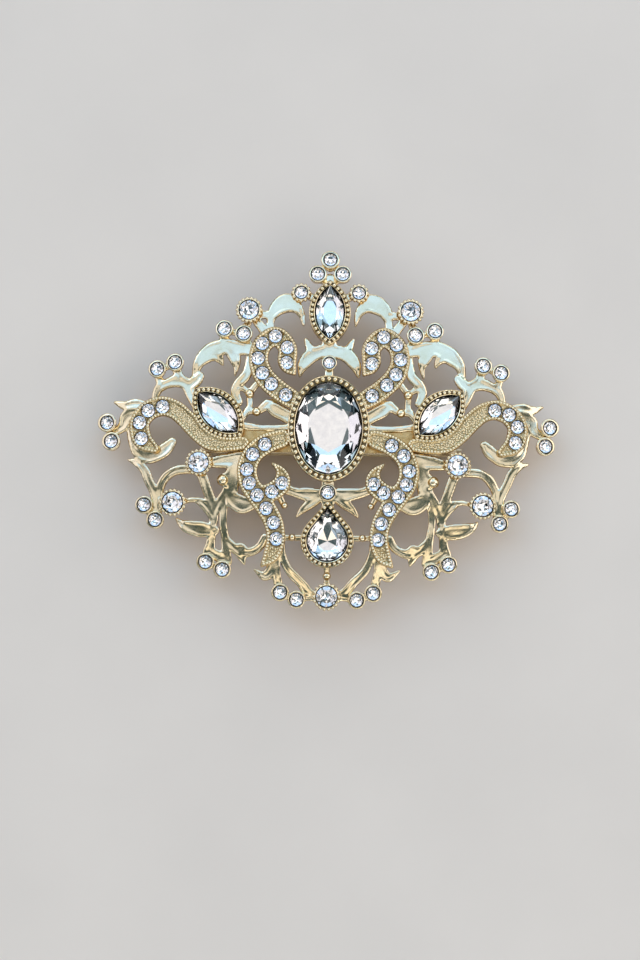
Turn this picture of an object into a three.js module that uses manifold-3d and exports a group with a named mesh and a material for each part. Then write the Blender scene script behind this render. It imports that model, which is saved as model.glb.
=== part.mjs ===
// Rhinestone hair clip: a domed openwork ornament carrying stones, riveted to a small sprung barrette.
// Millimetres. X runs along the clip, Y across the ornament towards its trefoil, Z up through its face.
// The origin is the middle of the ornament's outline on the surface that the closed clip lies on.
import * as THREE from 'three';
import { mergeVertices } from 'three/addons/utils/BufferGeometryUtils.js';
import Module from 'manifold-3d';

const wasm = await Module();
wasm.setup();

// ---- driving dimensions ----
const OUTLINE_MIDDLE_V = 0.1; // the outline's middle, above the centre stone's
const DOME_RADIUS = 190;
const BACK_Z = 10; // the casting's back at the centre
const LEAF_HEIGHT = 1.6;
const BALL_HEIGHT = 2.0;
const RAIL_HEIGHT = 1.0; // rails of the casting run under the upper layer's scrolls
const RAIL_INSET = 0.6;
const OVERLAY_FROM = 1.3; // the soldered upper layer starts here, above the casting's back
const OVERLAY_TO = 3.0;
const GAP = 0.3;
const KEEP_OUT_TOP = 6; // above everything that is cut
const LEAST_HALF_WIDTH = 0.1;
const STONE_GAP = 0.15;
const STEP_LENGTH = 2.2; // along a strand, between two corners of its outline
const RAIL_STEP = 4; // the same, along the hidden rails
const CUP_SIDES = 8;
const LARGE_CUP_SIDES = 12;
const STONE_SIDES = 8;

const GOLD = { color: 0xd8bd84, metalness: 1, roughness: 0.22 };
const GRAINED_GOLD = { color: 0xc9a55c, metalness: 1, roughness: 0.42 };
const STEEL = { color: 0xcdb98e, metalness: 1, roughness: 0.3 };
const CRYSTAL = { color: 0xe4e9f4, metalness: 0, roughness: 0.04 };

// ---- stone cups: name, u, v, cup radius, stone radius, height; u > 0 stands for a left and right pair ----
const SMALL_CUP = 2.6;
const LARGE_CUP = 3.2;
const CUP_DEPTH = 1.3;
const CULET_DEPTH = 1.1; // below the cup's rim
const GIRDLE_DEPTH = 0.1;
const TABLE_RISE = 0.5;
const CUPS = [
  ['trefoil_top', 0, 34.5, 1.9, 1.25, SMALL_CUP],
  ['trefoil', 2.5, 31.5, 1.8, 1.25, SMALL_CUP],
  ['crown', 5.8, 27.6, 2.0, 1.2, SMALL_CUP],
  ['shoulder', 16.2, 23.9, 2.7, 1.9, LARGE_CUP],
  ['shoulder_outer', 21.1, 20.1, 1.8, 1.25, SMALL_CUP],
  ['shoulder_inner', 17.2, 19.1, 1.8, 1.25, SMALL_CUP],
  ['wing_outer', 34.5, 12.0, 1.8, 1.25, SMALL_CUP],
  ['wing_inner', 30.9, 13.3, 1.8, 1.25, SMALL_CUP],
  ['tip_upper', 44.5, 1.2, 1.9, 1.25, SMALL_CUP],
  ['tip_lower', 43.6, -2.55, 1.9, 1.25, SMALL_CUP],
  ['branch_inner', 25.8, -6.95, 2.7, 2.0, LARGE_CUP],
  ['branch_outer', 30.9, -14.9, 2.75, 2.0, LARGE_CUP],
  ['branch_tip_upper', 36.7, -15.3, 1.8, 1.25, SMALL_CUP],
  ['branch_tip_lower', 34.4, -18.3, 1.8, 1.25, SMALL_CUP],
  ['loop_outer', 24.2, -26.6, 1.8, 1.25, SMALL_CUP],
  ['loop_inner', 20.8, -28.1, 1.8, 1.25, SMALL_CUP],
  ['foot_outer', 9.25, -32.5, 1.8, 1.25, SMALL_CUP],
  ['foot_inner', 6.0, -33.9, 1.8, 1.25, SMALL_CUP],
  ['foot_middle', 0, -33.3, 2.8, 2.05, LARGE_CUP],
  ['neck_upper', 0, 13.2, 1.55, 1.05, SMALL_CUP],
  ['neck_lower', 0, -12.7, 1.75, 1.25, SMALL_CUP],
];

// ---- leaves and strands of the casting: [u, v, width] along each one's middle ----
const MIDDLE_STRANDS = [
  [[0, 34.5, 1.6], [0, 33.0, 1.2]],
  [[-2.5, 30.9, 1.2], [0, 30.2, 1.6], [2.5, 30.9, 1.2]],
  [[0, 28, 2.4], [0, 30.6, 2.2]],
  [[0, 14.4, 2.2], [0, 17.6, 2.8]],
  [[0, 12.6, 1.4], [0, 9.6, 1.8]],
  [[0, -9.8, 2.4], [0, -15.6, 2.4]],
  [[0, -26.5, 1.4], [0, -28.4, 0.9], [0, -30.4, 0.9], [0, -31.6, 1.4]],
];
const PAIRED_STRANDS = [
  // trefoil links and the crown cup's link to the top marquise
  [[0.6, 33.6, 1.2], [2.0, 32.6, 1.2]],
  [[2.4, 26.4, 1.4], [4.8, 27.3, 1.4]],
  // crown crescent, from the upper scroll round to its hanging point
  [[11.9, 19.6, 1.4], [11.8, 22.2, 1.5], [10.6, 24.6, 3.0], [8.4, 25.7, 3.7], [6.6, 24.6, 2.1],
    [5.6, 22.9, 1.1], [5.2, 21.0, 0.3]],
  [[12.0, 23.2, 1.5], [14.2, 23.2, 1.5]],
  [[14.9, 22.2, 1.6], [13.0, 19.6, 1.8]],
  // side arch with its two horns
  [[27.0, 10.6, 0.7], [26.1, 13.4, 2.1], [24.2, 15.3, 3.3], [21.4, 16.6, 3.0], [18.2, 16.4, 2.7],
    [14.6, 15.6, 2.0]],
  [[23.3, 15.4, 2.6], [22.0, 14.2, 1.5], [21.3, 12.9, 0.3]],
  [[20.2, 16.6, 2.6], [19.1, 14.6, 2.4], [18.6, 12.6, 1.1], [18.9, 10.7, 0.3]],
  // strand beside the side marquise, with its two balls and the links round the small openings
  [[16.0, 14.6, 1.2], [16.4, 11.1, 1.8], [18.0, 9.2, 1.9], [18.7, 7.6, 1.7], [18.0, 5.4, 1.5]],
  [[14.0, 9.6, 1.1], [15.8, 7.0, 1.1], [15.8, 4.4, 1.1], [17.4, 2.0, 1.2]],
  [[15.8, 7.2, 1.0], [17.8, 8.6, 1.2]],
  [[10.9, 5.6, 1.0], [12.6, 4.6, 1.6], [14.4, 3.4, 1.1], [16.2, 3.7, 1.0]],
  [[12.2, 5.0, 1.6], [10.6, 3.8, 2.6], [7.2, 2.0, 2.4]],
  [[7.4, 0.2, 1.4], [12.5, 0.1, 1.1], [17.5, 0.6, 1.4]],
  // shoulder cups' links
  [[16.4, 21.6, 1.3], [17.0, 20.4, 1.3]],
  [[18.4, 19.4, 1.1], [19.9, 19.8, 1.1]],
  [[21.1, 18.8, 1.6], [21.3, 17.4, 1.8]],
  [[16.6, 17.8, 1.4], [16.0, 16.4, 1.6]],
  // double leaf under the top marquise
  [[0.4, 16.0, 2.4], [3.2, 15.1, 2.7], [5.0, 13.3, 2.3], [5.9, 10.7, 0.4]],
  [[3.0, 15.0, 1.8], [4.1, 16.8, 1.3], [4.8, 18.2, 0.5]],
  // wave leaf under the wing cups, its bud and its stem along the marquise
  [[35.2, 5.4, 0.9], [34.2, 8.1, 1.6], [32.2, 9.3, 1.9], [30.2, 9.7, 2.4], [28.5, 8.9, 2.2],
    [27.4, 6.4, 1.9], [26.0, 4.0, 1.8]],
  [[28.2, 8.4, 1.8], [26.8, 9.6, 2.3], [25.9, 10.6, 1.6]],
  [[30.7, 12.2, 1.5], [30.0, 10.2, 1.8]],
  [[34.4, 10.8, 1.3], [33.6, 8.8, 1.6]],
  [[32.2, 12.8, 1.1], [33.2, 12.4, 1.1]],
  // outer leaf and its link to the tip cups
  [[35.4, 4.6, 1.0], [38.8, 5.1, 1.8], [41.0, 4.8, 1.6], [43.1, 5.5, 0.3]],
  [[37.2, 3.4, 2.2], [40.5, 2.6, 2.5], [41.3, 0.6, 2.0], [43.6, -0.8, 1.3]],
  [[44.2, 0.2, 1.2], [43.9, -1.4, 1.2]],
  // leaf under the side scroll and its curl
  [[40.2, 0.2, 0.8], [39.5, -2.6, 1.1], [38.3, -4.7, 2.0], [36.3, -5.6, 2.4], [34.3, -5.2, 2.6],
    [32.4, -3.9, 2.4], [31.3, -2.6, 1.7]],
  // outer branch from its tip to the branch cups
  [[40.1, -6.2, 0.3], [38.4, -6.7, 1.4], [36.8, -8.3, 1.7], [35.8, -10.6, 1.8], [34.6, -13.0, 1.8],
    [33.8, -15.4, 2.2]],
  [[34.8, -15.4, 2.4], [34.2, -17.0, 2.0]],
  [[35.2, -17.2, 1.2], [36.0, -16.4, 1.2]],
  // arc between the two branch cups
  [[27.4, -8.1, 1.8], [30.5, -8.4, 1.6], [32.4, -9.7, 1.7], [33.6, -12.0, 1.5], [33.6, -13.6, 1.5]],
  // strand down from the inner branch cup, the thin wave and the leaf beneath the outer cup
  [[25.4, -8.6, 1.9], [24.1, -12.1, 1.8], [23.1, -15.2, 1.9], [22.6, -18.4, 1.2]],
  [[29.0, -14.6, 0.8], [26.4, -14.2, 0.9], [24.5, -15.2, 1.9], [23.0, -17.4, 1.4]],
  [[22.4, -20.3, 1.6], [25.0, -20.1, 3.0], [27.4, -19.7, 2.6], [29.2, -18.9, 1.3], [30.1, -18.0, 0.3]],
  // the two ribbons beside the round loop
  [[19.6, -11.6, 1.3], [21.4, -14.2, 1.4], [22.35, -16.6, 1.4], [22.9, -19.2, 1.4], [23.1, -21.6, 1.5],
    [23.6, -25.0, 2.2]],
  [[20.1, -12.4, 1.2], [20.6, -15.4, 1.3], [20.8, -18.6, 1.3], [20.4, -21.6, 1.5], [19.9, -26.4, 1.9]],
  [[23.6, -24.4, 2.0], [20.6, -25.9, 2.2]],
  [[22.0, -27.6, 1.3], [23.0, -27.1, 1.3]],
  // crescent below the round loop and its horn
  [[12.4, -21.6, 1.4], [13.4, -23.4, 1.5], [15.4, -24.5, 1.7], [17.8, -24.2, 2.0], [20.1, -22.2, 1.4]],
  [[17.2, -24.0, 2.4], [16.9, -25.6, 1.5], [16.5, -26.9, 0.3]],
  // lobe over the loop, bud below the inner branch cup and the leaf that joins them
  [[14.6, -15.0, 2.0], [17.4, -15.0, 3.6], [19.6, -13.4, 2.2], [20.1, -11.8, 1.4]],
  [[16.4, -6.0, 3.2], [20.0, -6.4, 2.8], [24.0, -6.9, 1.6]],
  [[17.6, -6.4, 2.4], [18.8, -9.0, 3.0], [19.2, -12.2, 2.4]],
  [[19.2, -9.6, 2.4], [21.0, -10.3, 2.2]],
  // lower horn, the foot's strands and links
  [[10.9, -24.6, 1.8], [10.9, -27.6, 2.0], [12.1, -29.2, 1.9], [14.4, -28.0, 0.3]],
  [[10.0, -24.6, 1.3], [10.1, -28.5, 1.5], [9.5, -31.4, 1.6]],
  [[9.1, -22.4, 1.2], [8.9, -25.0, 1.3], [7.6, -28.0, 1.6], [5.2, -30.5, 1.7], [3.4, -32.6, 1.9],
    [1.6, -33.4, 1.9]],
  [[3.4, -33.2, 1.5], [5.2, -33.6, 1.5]],
  [[7.2, -33.4, 1.3], [8.2, -33.0, 1.3]],
  // links round the pear
  [[9.4, -21.6, 1.0], [4.6, -21.6, 1.0]],
  [[10.2, -12.4, 1.2], [8.6, -15.4, 0.9]],
  [[0.6, -13.2, 2.6], [3.4, -13.1, 2.7], [6.2, -12.7, 1.9], [9.2, -11.6, 1.8]],
  [[2.6, -14.2, 2.0], [4.7, -15.8, 1.5], [6.1, -17.4, 0.3]],
];
// small round swellings on the strands: [u, v, radius]
const PAIRED_BALLS = [
  [15.8, 7.0, 0.95], [14.4, 3.4, 0.95], [7.0, -21.6, 0.75], [8.6, -15.3, 0.7], [21.0, -10.3, 1.2],
];
const MIDDLE_BALLS = [[0, -29.2, 0.85]];

// ---- scroll bands of the upper layer: [u, v, width] ----
const UPPER_SCROLL = [
  [7.4, 5.9, 3.6], [8.6, 6.6, 3.8], [11.5, 8.8, 3.9], [13.3, 11.0, 3.9], [14.15, 14.0, 3.7],
  [13.3, 16.9, 3.7], [10.8, 18.5, 3.8], [8.45, 16.3, 3.6], [8.4, 13.2, 3.4], [6.9, 10.9, 0.5],
];
const LOWER_SCROLL = [
  [9.3, -2.1, 3.4], [12.6, -3.3, 3.9], [15.0, -5.3, 3.9], [16.1, -8.3, 3.9], [15.6, -11.0, 3.9],
  [14.0, -13.4, 3.9], [12.2, -16.0, 3.8], [10.7, -18.8, 3.7], [10.2, -22.0, 3.5], [11.0, -25.0, 3.0],
  [12.9, -27.2, 0.5],
];
const LOWER_HOOK = [
  [14.0, -13.3, 3.0], [11.1, -12.7, 3.6], [9.2, -11.0, 3.4], [9.3, -8.8, 1.9], [11.0, -7.1, 0.4],
];
const SIDE_SCROLL = [
  [17.0, -3.1, 2.4], [19.9, -2.9, 3.4], [23.4, -2.5, 3.9], [26.1, -0.5, 3.9], [28.6, 1.9, 3.6],
  [30.8, 3.7, 3.6], [33.4, 4.4, 3.8], [36.1, 3.5, 3.9], [37.8, 1.1, 3.9], [37.3, -2.1, 3.8],
  [34.9, -4.0, 1.9],
];
const SCROLL_LINES = [UPPER_SCROLL, LOWER_SCROLL, LOWER_HOOK, SIDE_SCROLL];
// the casting's pad under the middle of the upper layer, which the barrette is riveted to
const CLIP_LINE_V = -2.1;
const CLIP_PAD = [[-25.0, -1.5, 3.4], [-17, CLIP_LINE_V, 4.4], [0, CLIP_LINE_V, 5.0], [17, CLIP_LINE_V, 4.4],
  [25.0, -1.5, 3.4]];

// ---- large stones and their bezels ----
const OVAL = { stone: [6.5, 9.1], bezel: [8.1, 10.6], top: 3.8, girdle: 3.5, table: 5.4 };
const MARQUISE = { stone: [2.75, 5.55], bezel: [4.2, 6.7], top: 3.2, girdle: 2.9, table: 4.4 };
const SIDE_MARQUISE = { stone: [2.8, 5.55], bezel: [4.3, 6.8], top: 3.4, girdle: 3.1, table: 4.6 };
const PEAR = { stone: [3.9, 6.6], bezel: [5.3, 7.9], top: 3.2, girdle: 2.9, table: 4.4 };
const TOP_MARQUISE_V = 23.5;
const PEAR_V = -22.3;
const SIDE_MARQUISE_AT = [22.05, 3.0];
const SIDE_TURN = Math.PI / 4; // each side marquise leans outward by this
const BEZEL_FLOOR = 0.5;
const TABLE_SHARE = 0.6; // a stone's flat top, as a share of its girdle

// ---- barrette ----
const BASE = { halfLength: 25.6, width: 5.2, thickness: 0.8, top: 9.0 };
const RIVET_X = 12;
const RIVET = { shank: 0.6, head: 1.1, headHeight: 0.5, reach: 1.7 };
const BOSS_RADIUS = 1.7;
const BORE_GAP = 0.15;
const HINGE = { x: -24, z: 3.6, pin: 0.55, bore: 0.75, knuckle: 1.25, knuckleWidth: 4.0 };
const EAR = { thickness: 0.5, halfWidth: 1.5, below: 1.3, clearance: 0.1 };
const ARM = { left: -24.5, right: 25.6, width: 4.4, thickness: 0.8 };
const WINDOW = { left: 20.6, right: 24.4, width: 3.2 };
const BAR = { halfLength: 19, width: 3.6, thickness: 0.4, low: 5.3, bow: 0.3 };
const PRONG = { left: 21.2, right: 23.8, thickness: 0.5, offset: 1.0, rootZ: 6.3, low: 0.25 };
const HOOK = { reach: 0.23, height: 0.4 };
const PRONG_TAB = { right: 27.0, low: 1.6, high: 3.4 };
const CATCH_LUG = { halfWidth: 0.55, low: 5.2 }; // the base's lug that the prongs spring from
const ROUND_SIDES = 12;

// ---- solids ----
function toSolid(geometry) {
  const bare = geometry.clone();
  bare.deleteAttribute('normal');
  bare.deleteAttribute('uv');
  const merged = mergeVertices(bare, 1e-5);
  const vertProperties = new Float32Array(merged.attributes.position.array);
  const triVerts = new Uint32Array(merged.index.array);
  return new wasm.Manifold(new wasm.Mesh({ numProp: 3, vertProperties, triVerts }));
}

function toGeometry(solid) {
  const mesh = solid.getMesh();
  const geometry = new THREE.BufferGeometry();
  geometry.setAttribute('position', new THREE.BufferAttribute(new Float32Array(mesh.vertProperties), 3));
  geometry.setIndex(new THREE.BufferAttribute(new Uint32Array(mesh.triVerts), 1));
  geometry.computeVertexNormals();
  return geometry;
}

const join = (solids) => solids.reduce((whole, piece) => whole.add(piece));

const mirrored = (points) => points.map(([u, v, size]) => [-u, v, size]);

// A prism of an outline between two heights.
function prism(outline, low, high) {
  const shape = new THREE.Shape(outline.map(([x, y]) => new THREE.Vector2(x, y)));
  const geometry = new THREE.ExtrudeGeometry(shape, { depth: high - low, bevelEnabled: false });
  geometry.translate(0, 0, low);
  return toSolid(geometry);
}

// The outline of a band whose middle line and width run smoothly through the given points.
function bandOutline(points, extra, step) {
  const curve = new THREE.CatmullRomCurve3(points.map((p) => new THREE.Vector3(...p)), false, 'centripetal');
  const count = points.length > 2 ? Math.ceil(curve.getLength() / step) : 1;
  const left = [];
  const right = [];
  for (let i = 0; i <= count; i += 1) {
    const at = curve.getPointAt(i / count);
    const ahead = curve.getTangentAt(i / count);
    const half = Math.max(at.z / 2 + extra, LEAST_HALF_WIDTH);
    const across = new THREE.Vector2(-ahead.y, ahead.x).normalize().multiplyScalar(half);
    left.push([at.x + across.x, at.y + across.y]);
    right.unshift([at.x - across.x, at.y - across.y]);
  }
  return [...left, ...right];
}

const band = (points, low, high, extra = 0, step = STEP_LENGTH) => (
  prism(bandOutline(points, extra, step), low, high));

const bandPair = (points, ...rest) => [band(points, ...rest), band(mirrored(points), ...rest)];

function disc(u, v, radius, low, high, sides = CUP_SIDES) {
  const geometry = new THREE.CylinderGeometry(radius, radius, high - low, sides);
  geometry.rotateX(Math.PI / 2);
  geometry.translate(u, v, (low + high) / 2);
  return toSolid(geometry);
}

function block(x0, x1, y0, y1, z0, z1) {
  const geometry = new THREE.BoxGeometry(x1 - x0, y1 - y0, z1 - z0);
  geometry.translate((x0 + x1) / 2, (y0 + y1) / 2, (z0 + z1) / 2);
  return toSolid(geometry);
}

// A round bar along Y.
function crossRod(x, z, radius, width) {
  const geometry = new THREE.CylinderGeometry(radius, radius, width, ROUND_SIDES);
  geometry.translate(x, 0, z);
  return toSolid(geometry);
}

// ---- stone outlines, each about its own middle, with extra added all round ----
function ovalOutline([a, b], extra = 0, steps = 28) {
  return Array.from({ length: steps }, (_, i) => {
    const angle = (i / steps) * 2 * Math.PI;
    return [(a + extra) * Math.cos(angle), (b + extra) * Math.sin(angle)];
  });
}

// Two equal arcs that meet in a point at each end.
function marquiseOutline([a, b], extra = 0, steps = 8) {
  const half = a + extra;
  const length = b + extra;
  const radius = (half * half + length * length) / (2 * half);
  const reach = Math.asin(length / radius);
  const side = Array.from({ length: steps }, (_, i) => {
    const angle = reach * (1 - (2 * i) / steps);
    return [radius * Math.cos(angle) - (radius - half), -radius * Math.sin(angle)];
  });
  return [...side, ...side.map(([x, y]) => [-x, -y])];
}

// A circle with one point drawn out along +Y.
function pearOutline([radius, apex], extra = 0, steps = 20) {
  const r = radius + extra;
  const tip = apex + extra;
  const touch = Math.asin(r / tip);
  const sweep = Math.PI + 2 * touch;
  const arc = Array.from({ length: steps + 1 }, (_, i) => {
    const angle = Math.PI - touch + (i / steps) * sweep;
    return [r * Math.cos(angle), r * Math.sin(angle)];
  });
  return [...arc, [0, tip]];
}

const placed = (outline, u, v, turn = 0) => outline.map(([x, y]) => [
  u + x * Math.cos(turn) - y * Math.sin(turn),
  v + x * Math.sin(turn) + y * Math.cos(turn),
]);

// A bezel: a walled tray of the stone's outline, with the recess that the stone drops into.
function bezel(outlineOf, sizes, low, u, v, turn = 0) {
  const wall = prism(placed(outlineOf(sizes.bezel), u, v, turn), low, sizes.top);
  const recess = placed(outlineOf(sizes.stone, STONE_GAP), u, v, turn);
  return wall.subtract(prism(recess, low + BEZEL_FLOOR, KEEP_OUT_TOP));
}

// A cut stone over an outline: a pavilion down to its point, a crown, and a flat table.
function cutStone(outline, low, girdle, table) {
  const count = outline.length;
  const middle = outline.reduce(([x, y], p) => [x + p[0] / count, y + p[1] / count], [0, 0]);
  const [u, v] = middle;
  const tableEdge = outline.map(([x, y]) => [u + (x - u) * TABLE_SHARE, v + (y - v) * TABLE_SHARE]);
  const positions = [
    ...outline.flatMap((point) => [...point, girdle]),
    ...tableEdge.flatMap((point) => [...point, table]),
    ...middle, low,
    ...middle, table,
  ];
  const index = [];
  for (let i = 0; i < count; i += 1) {
    const next = (i + 1) % count;
    index.push(2 * count, next, i);
    index.push(i, next, count + next, i, count + next, count + i);
    index.push(2 * count + 1, count + i, count + next);
  }
  const geometry = new THREE.BufferGeometry();
  geometry.setAttribute('position', new THREE.Float32BufferAttribute(positions, 3));
  geometry.setIndex(index);
  geometry.computeVertexNormals();
  return geometry;
}

// ---- the ornament's pieces, drawn flat above the casting's back ----
const sides = (u) => (u > 0 ? [['_left', -u], ['_right', u]] : [['', u]]);

const cupSides = (height) => (height === LARGE_CUP ? LARGE_CUP_SIDES : CUP_SIDES);

function cupSolids() {
  return CUPS.flatMap(([, u, v, radius, , height]) => sides(u).map(([, at]) => (
    disc(at, v, radius, 0, height, cupSides(height)))));
}

function cupRecesses() {
  return CUPS.flatMap(([, u, v, , stone, height]) => sides(u).map(([, at]) => (
    disc(at, v, stone + STONE_GAP, height - CUP_DEPTH, KEEP_OUT_TOP, cupSides(height)))));
}

// The upper layer's whole outline between two heights, grown or shrunk by extra.
function upperLayerFootprint(low, high, extra, step) {
  const [u, v] = SIDE_MARQUISE_AT;
  return [
    ...SCROLL_LINES.flatMap((line) => bandPair(line, low, high, extra, step)),
    prism(ovalOutline(OVAL.bezel, extra), low, high),
    ...[-1, 1].map((side) => (
      prism(placed(marquiseOutline(SIDE_MARQUISE.bezel, extra), side * u, v, -side * SIDE_TURN), low, high))),
  ];
}

function filigreePlate() {
  const balls = [...PAIRED_BALLS, ...mirrored(PAIRED_BALLS), ...MIDDLE_BALLS];
  const leaves = [
    ...MIDDLE_STRANDS.map((line) => band(line, 0, LEAF_HEIGHT)),
    ...PAIRED_STRANDS.flatMap((line) => bandPair(line, 0, LEAF_HEIGHT)),
    ...balls.map(([u, v, radius]) => disc(u, v, radius, 0, BALL_HEIGHT)),
  ];
  const seats = upperLayerFootprint(RAIL_HEIGHT, KEEP_OUT_TOP, GAP, STEP_LENGTH);
  const bezels = [
    bezel(marquiseOutline, MARQUISE, 0, 0, TOP_MARQUISE_V),
    bezel(pearOutline, PEAR, 0, 0, PEAR_V),
  ];
  const bezelWells = [
    prism(placed(marquiseOutline(MARQUISE.stone, STONE_GAP), 0, TOP_MARQUISE_V), BEZEL_FLOOR, KEEP_OUT_TOP),
    prism(placed(pearOutline(PEAR.stone, STONE_GAP), 0, PEAR_V), BEZEL_FLOOR, KEEP_OUT_TOP),
  ];
  const rails = upperLayerFootprint(0, RAIL_HEIGHT, -RAIL_INSET, RAIL_STEP);
  const bosses = [-RIVET_X, RIVET_X].map((x) => (
    disc(x, CLIP_LINE_V, BOSS_RADIUS, BASE.top - BACK_Z + BORE_GAP, RAIL_HEIGHT, ROUND_SIDES)));
  const rivetBores = [-RIVET_X, RIVET_X].map((x) => (
    disc(x, CLIP_LINE_V, RIVET.shank + BORE_GAP, -2, RAIL_HEIGHT - 0.2, ROUND_SIDES)));
  return join([...leaves, ...cupSolids()])
    .subtract(join(seats))
    .add(join(bezels))
    .add(join([...rails, band(CLIP_PAD, 0, RAIL_HEIGHT), ...bosses]))
    .subtract(join([...cupRecesses(), ...bezelWells, ...rivetBores]));
}

const scroll = (...lines) => join(lines.map((line) => band(line, OVERLAY_FROM, OVERLAY_TO)));

function sideScroll(side) {
  const line = side < 0 ? mirrored(SIDE_SCROLL) : SIDE_SCROLL;
  const [u, v] = SIDE_MARQUISE_AT;
  const turn = -side * SIDE_TURN;
  const well = placed(marquiseOutline(SIDE_MARQUISE.stone, STONE_GAP), side * u, v, turn);
  return scroll(line)
    .add(bezel(marquiseOutline, SIDE_MARQUISE, OVERLAY_FROM, side * u, v, turn))
    .subtract(prism(well, OVERLAY_FROM + BEZEL_FLOOR, KEEP_OUT_TOP));
}

// The scrolls meet the centre bezel and each other edge to edge, each trimmed back by the gap.
function scrollSolids(side) {
  const own = (line) => (side < 0 ? mirrored(line) : line);
  const ovalKeepOut = prism(ovalOutline(OVAL.bezel, GAP), 0, KEEP_OUT_TOP);
  const lowerKeepOut = join([LOWER_SCROLL, LOWER_HOOK].map((line) => band(own(line), 0, KEEP_OUT_TOP, GAP)));
  return {
    upper: scroll(own(UPPER_SCROLL)).subtract(ovalKeepOut),
    lower: scroll(own(LOWER_SCROLL), own(LOWER_HOOK)).subtract(ovalKeepOut),
    side: sideScroll(side).subtract(lowerKeepOut),
  };
}

// Bends a flat-drawn piece onto the dome and lifts it to its height.
function domed(geometry) {
  const position = geometry.attributes.position;
  for (let i = 0; i < position.count; i += 1) {
    const drop = (position.getX(i) ** 2 + position.getY(i) ** 2) / (2 * DOME_RADIUS);
    position.setZ(i, position.getZ(i) + BACK_Z - drop);
  }
  geometry.computeVertexNormals();
  return geometry;
}

// ---- the barrette's pieces; y is measured from the clip's middle line ----
const archDrop = (x) => (x * x) / (2 * DOME_RADIUS);

function stripOutline(halfLength, low, high, steps = 10) {
  const along = Array.from({ length: steps + 1 }, (_, i) => halfLength * ((2 * i) / steps - 1));
  return [...along.map((x) => [x, low]), ...along.map((x) => [x, high]).reverse()];
}

// A strip standing on edge: its side outline in x and z, drawn out to a width along Y.
function sideCut(outline, width) {
  const shape = new THREE.Shape(outline.map(([x, z]) => new THREE.Vector2(x, z)));
  const geometry = new THREE.ExtrudeGeometry(shape, { depth: width, bevelEnabled: false });
  geometry.rotateX(Math.PI / 2);
  geometry.translate(0, width / 2, 0);
  return toSolid(geometry);
}

function clipBase() {
  const { halfLength, width, thickness, top } = BASE;
  const outline = stripOutline(halfLength, top - thickness, top).map(([x, z]) => [x, z - archDrop(x)]);
  const inner = HINGE.knuckleWidth / 2 + EAR.clearance;
  const earTop = top - thickness / 2 - archDrop(HINGE.x);
  const [earLeft, earRight] = [HINGE.x - EAR.halfWidth, HINGE.x + EAR.halfWidth];
  const ears = [-inner - EAR.thickness, inner].map((y) => (
    block(earLeft, earRight, y, y + EAR.thickness, HINGE.z - EAR.below, earTop)));
  const lugTop = top - thickness / 2 - archDrop(PRONG.right);
  const { halfWidth: lugHalf, low: lugLow } = CATCH_LUG;
  const lug = block(PRONG.left, PRONG.right, -lugHalf, lugHalf, lugLow, lugTop);
  const bores = [-RIVET_X, RIVET_X].map((x) => disc(x, 0, RIVET.shank + BORE_GAP, 0, top + 1, ROUND_SIDES));
  return join([sideCut(outline, width), ...ears, lug])
    .subtract(join([crossRod(HINGE.x, HINGE.z, HINGE.bore, width + 2), ...bores]));
}

function claspArm() {
  const strip = block(ARM.left, ARM.right, -ARM.width / 2, ARM.width / 2, 0, ARM.thickness);
  const web = block(ARM.left, ARM.left + 1, -HINGE.knuckleWidth / 2, HINGE.knuckleWidth / 2, 0, HINGE.z);
  const knuckle = crossRod(HINGE.x, HINGE.z, HINGE.knuckle, HINGE.knuckleWidth);
  const window = block(WINDOW.left, WINDOW.right, -WINDOW.width / 2, WINDOW.width / 2, -1, 2);
  return join([strip, web, knuckle])
    .subtract(crossRod(HINGE.x, HINGE.z, HINGE.bore, ARM.width + 2))
    .subtract(window);
}

function tensionBar() {
  const outline = stripOutline(BAR.halfLength, BAR.low, BAR.low + BAR.thickness)
    .map(([x, z]) => [x, z + BAR.bow * (x / BAR.halfLength) ** 2]);
  return sideCut(outline, BAR.width);
}

const hingePin = () => crossRod(HINGE.x, HINGE.z, HINGE.pin, BASE.width + 0.6);

function rivet(x) {
  const baseLow = BASE.top - BASE.thickness - archDrop(x);
  const headTop = baseLow - BORE_GAP;
  const head = disc(x, 0, RIVET.head, headTop - RIVET.headHeight, headTop, ROUND_SIDES);
  return head.add(disc(x, 0, RIVET.shank, headTop - RIVET.headHeight, baseLow + RIVET.reach, ROUND_SIDES));
}

// A sprung catch: a thin strip down from the base, a hook in the arm's window, and a tab to squeeze.
function catchProng(side) {
  const at = (from, to) => (side > 0 ? [from, to] : [-to, -from]);
  const [inner, outer] = at(PRONG.offset - PRONG.thickness / 2, PRONG.offset + PRONG.thickness / 2);
  const hookReach = at(PRONG.offset, PRONG.offset + PRONG.thickness / 2 + HOOK.reach);
  const strip = block(PRONG.left, PRONG.right, inner, outer, PRONG.low, PRONG.rootZ);
  const hook = block(PRONG.left, PRONG.right, ...hookReach, PRONG.low, PRONG.low + HOOK.height);
  const tab = block(PRONG.right - 0.5, PRONG_TAB.right, inner, outer, PRONG_TAB.low, PRONG_TAB.high);
  return join([strip, hook, tab]);
}

// ---- assembly ----
const clip = new THREE.Group();
clip.position.y = -OUTLINE_MIDDLE_V;
const ornament = new THREE.Group();
const barrette = new THREE.Group();
barrette.position.y = CLIP_LINE_V;
clip.add(ornament, barrette);

function addPiece(group, name, geometry, finish) {
  const mesh = new THREE.Mesh(geometry, new THREE.MeshStandardMaterial(finish));
  mesh.name = name;
  group.add(mesh);
}

const addDomed = (name, geometry, finish) => addPiece(ornament, name, domed(geometry), finish);

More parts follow.
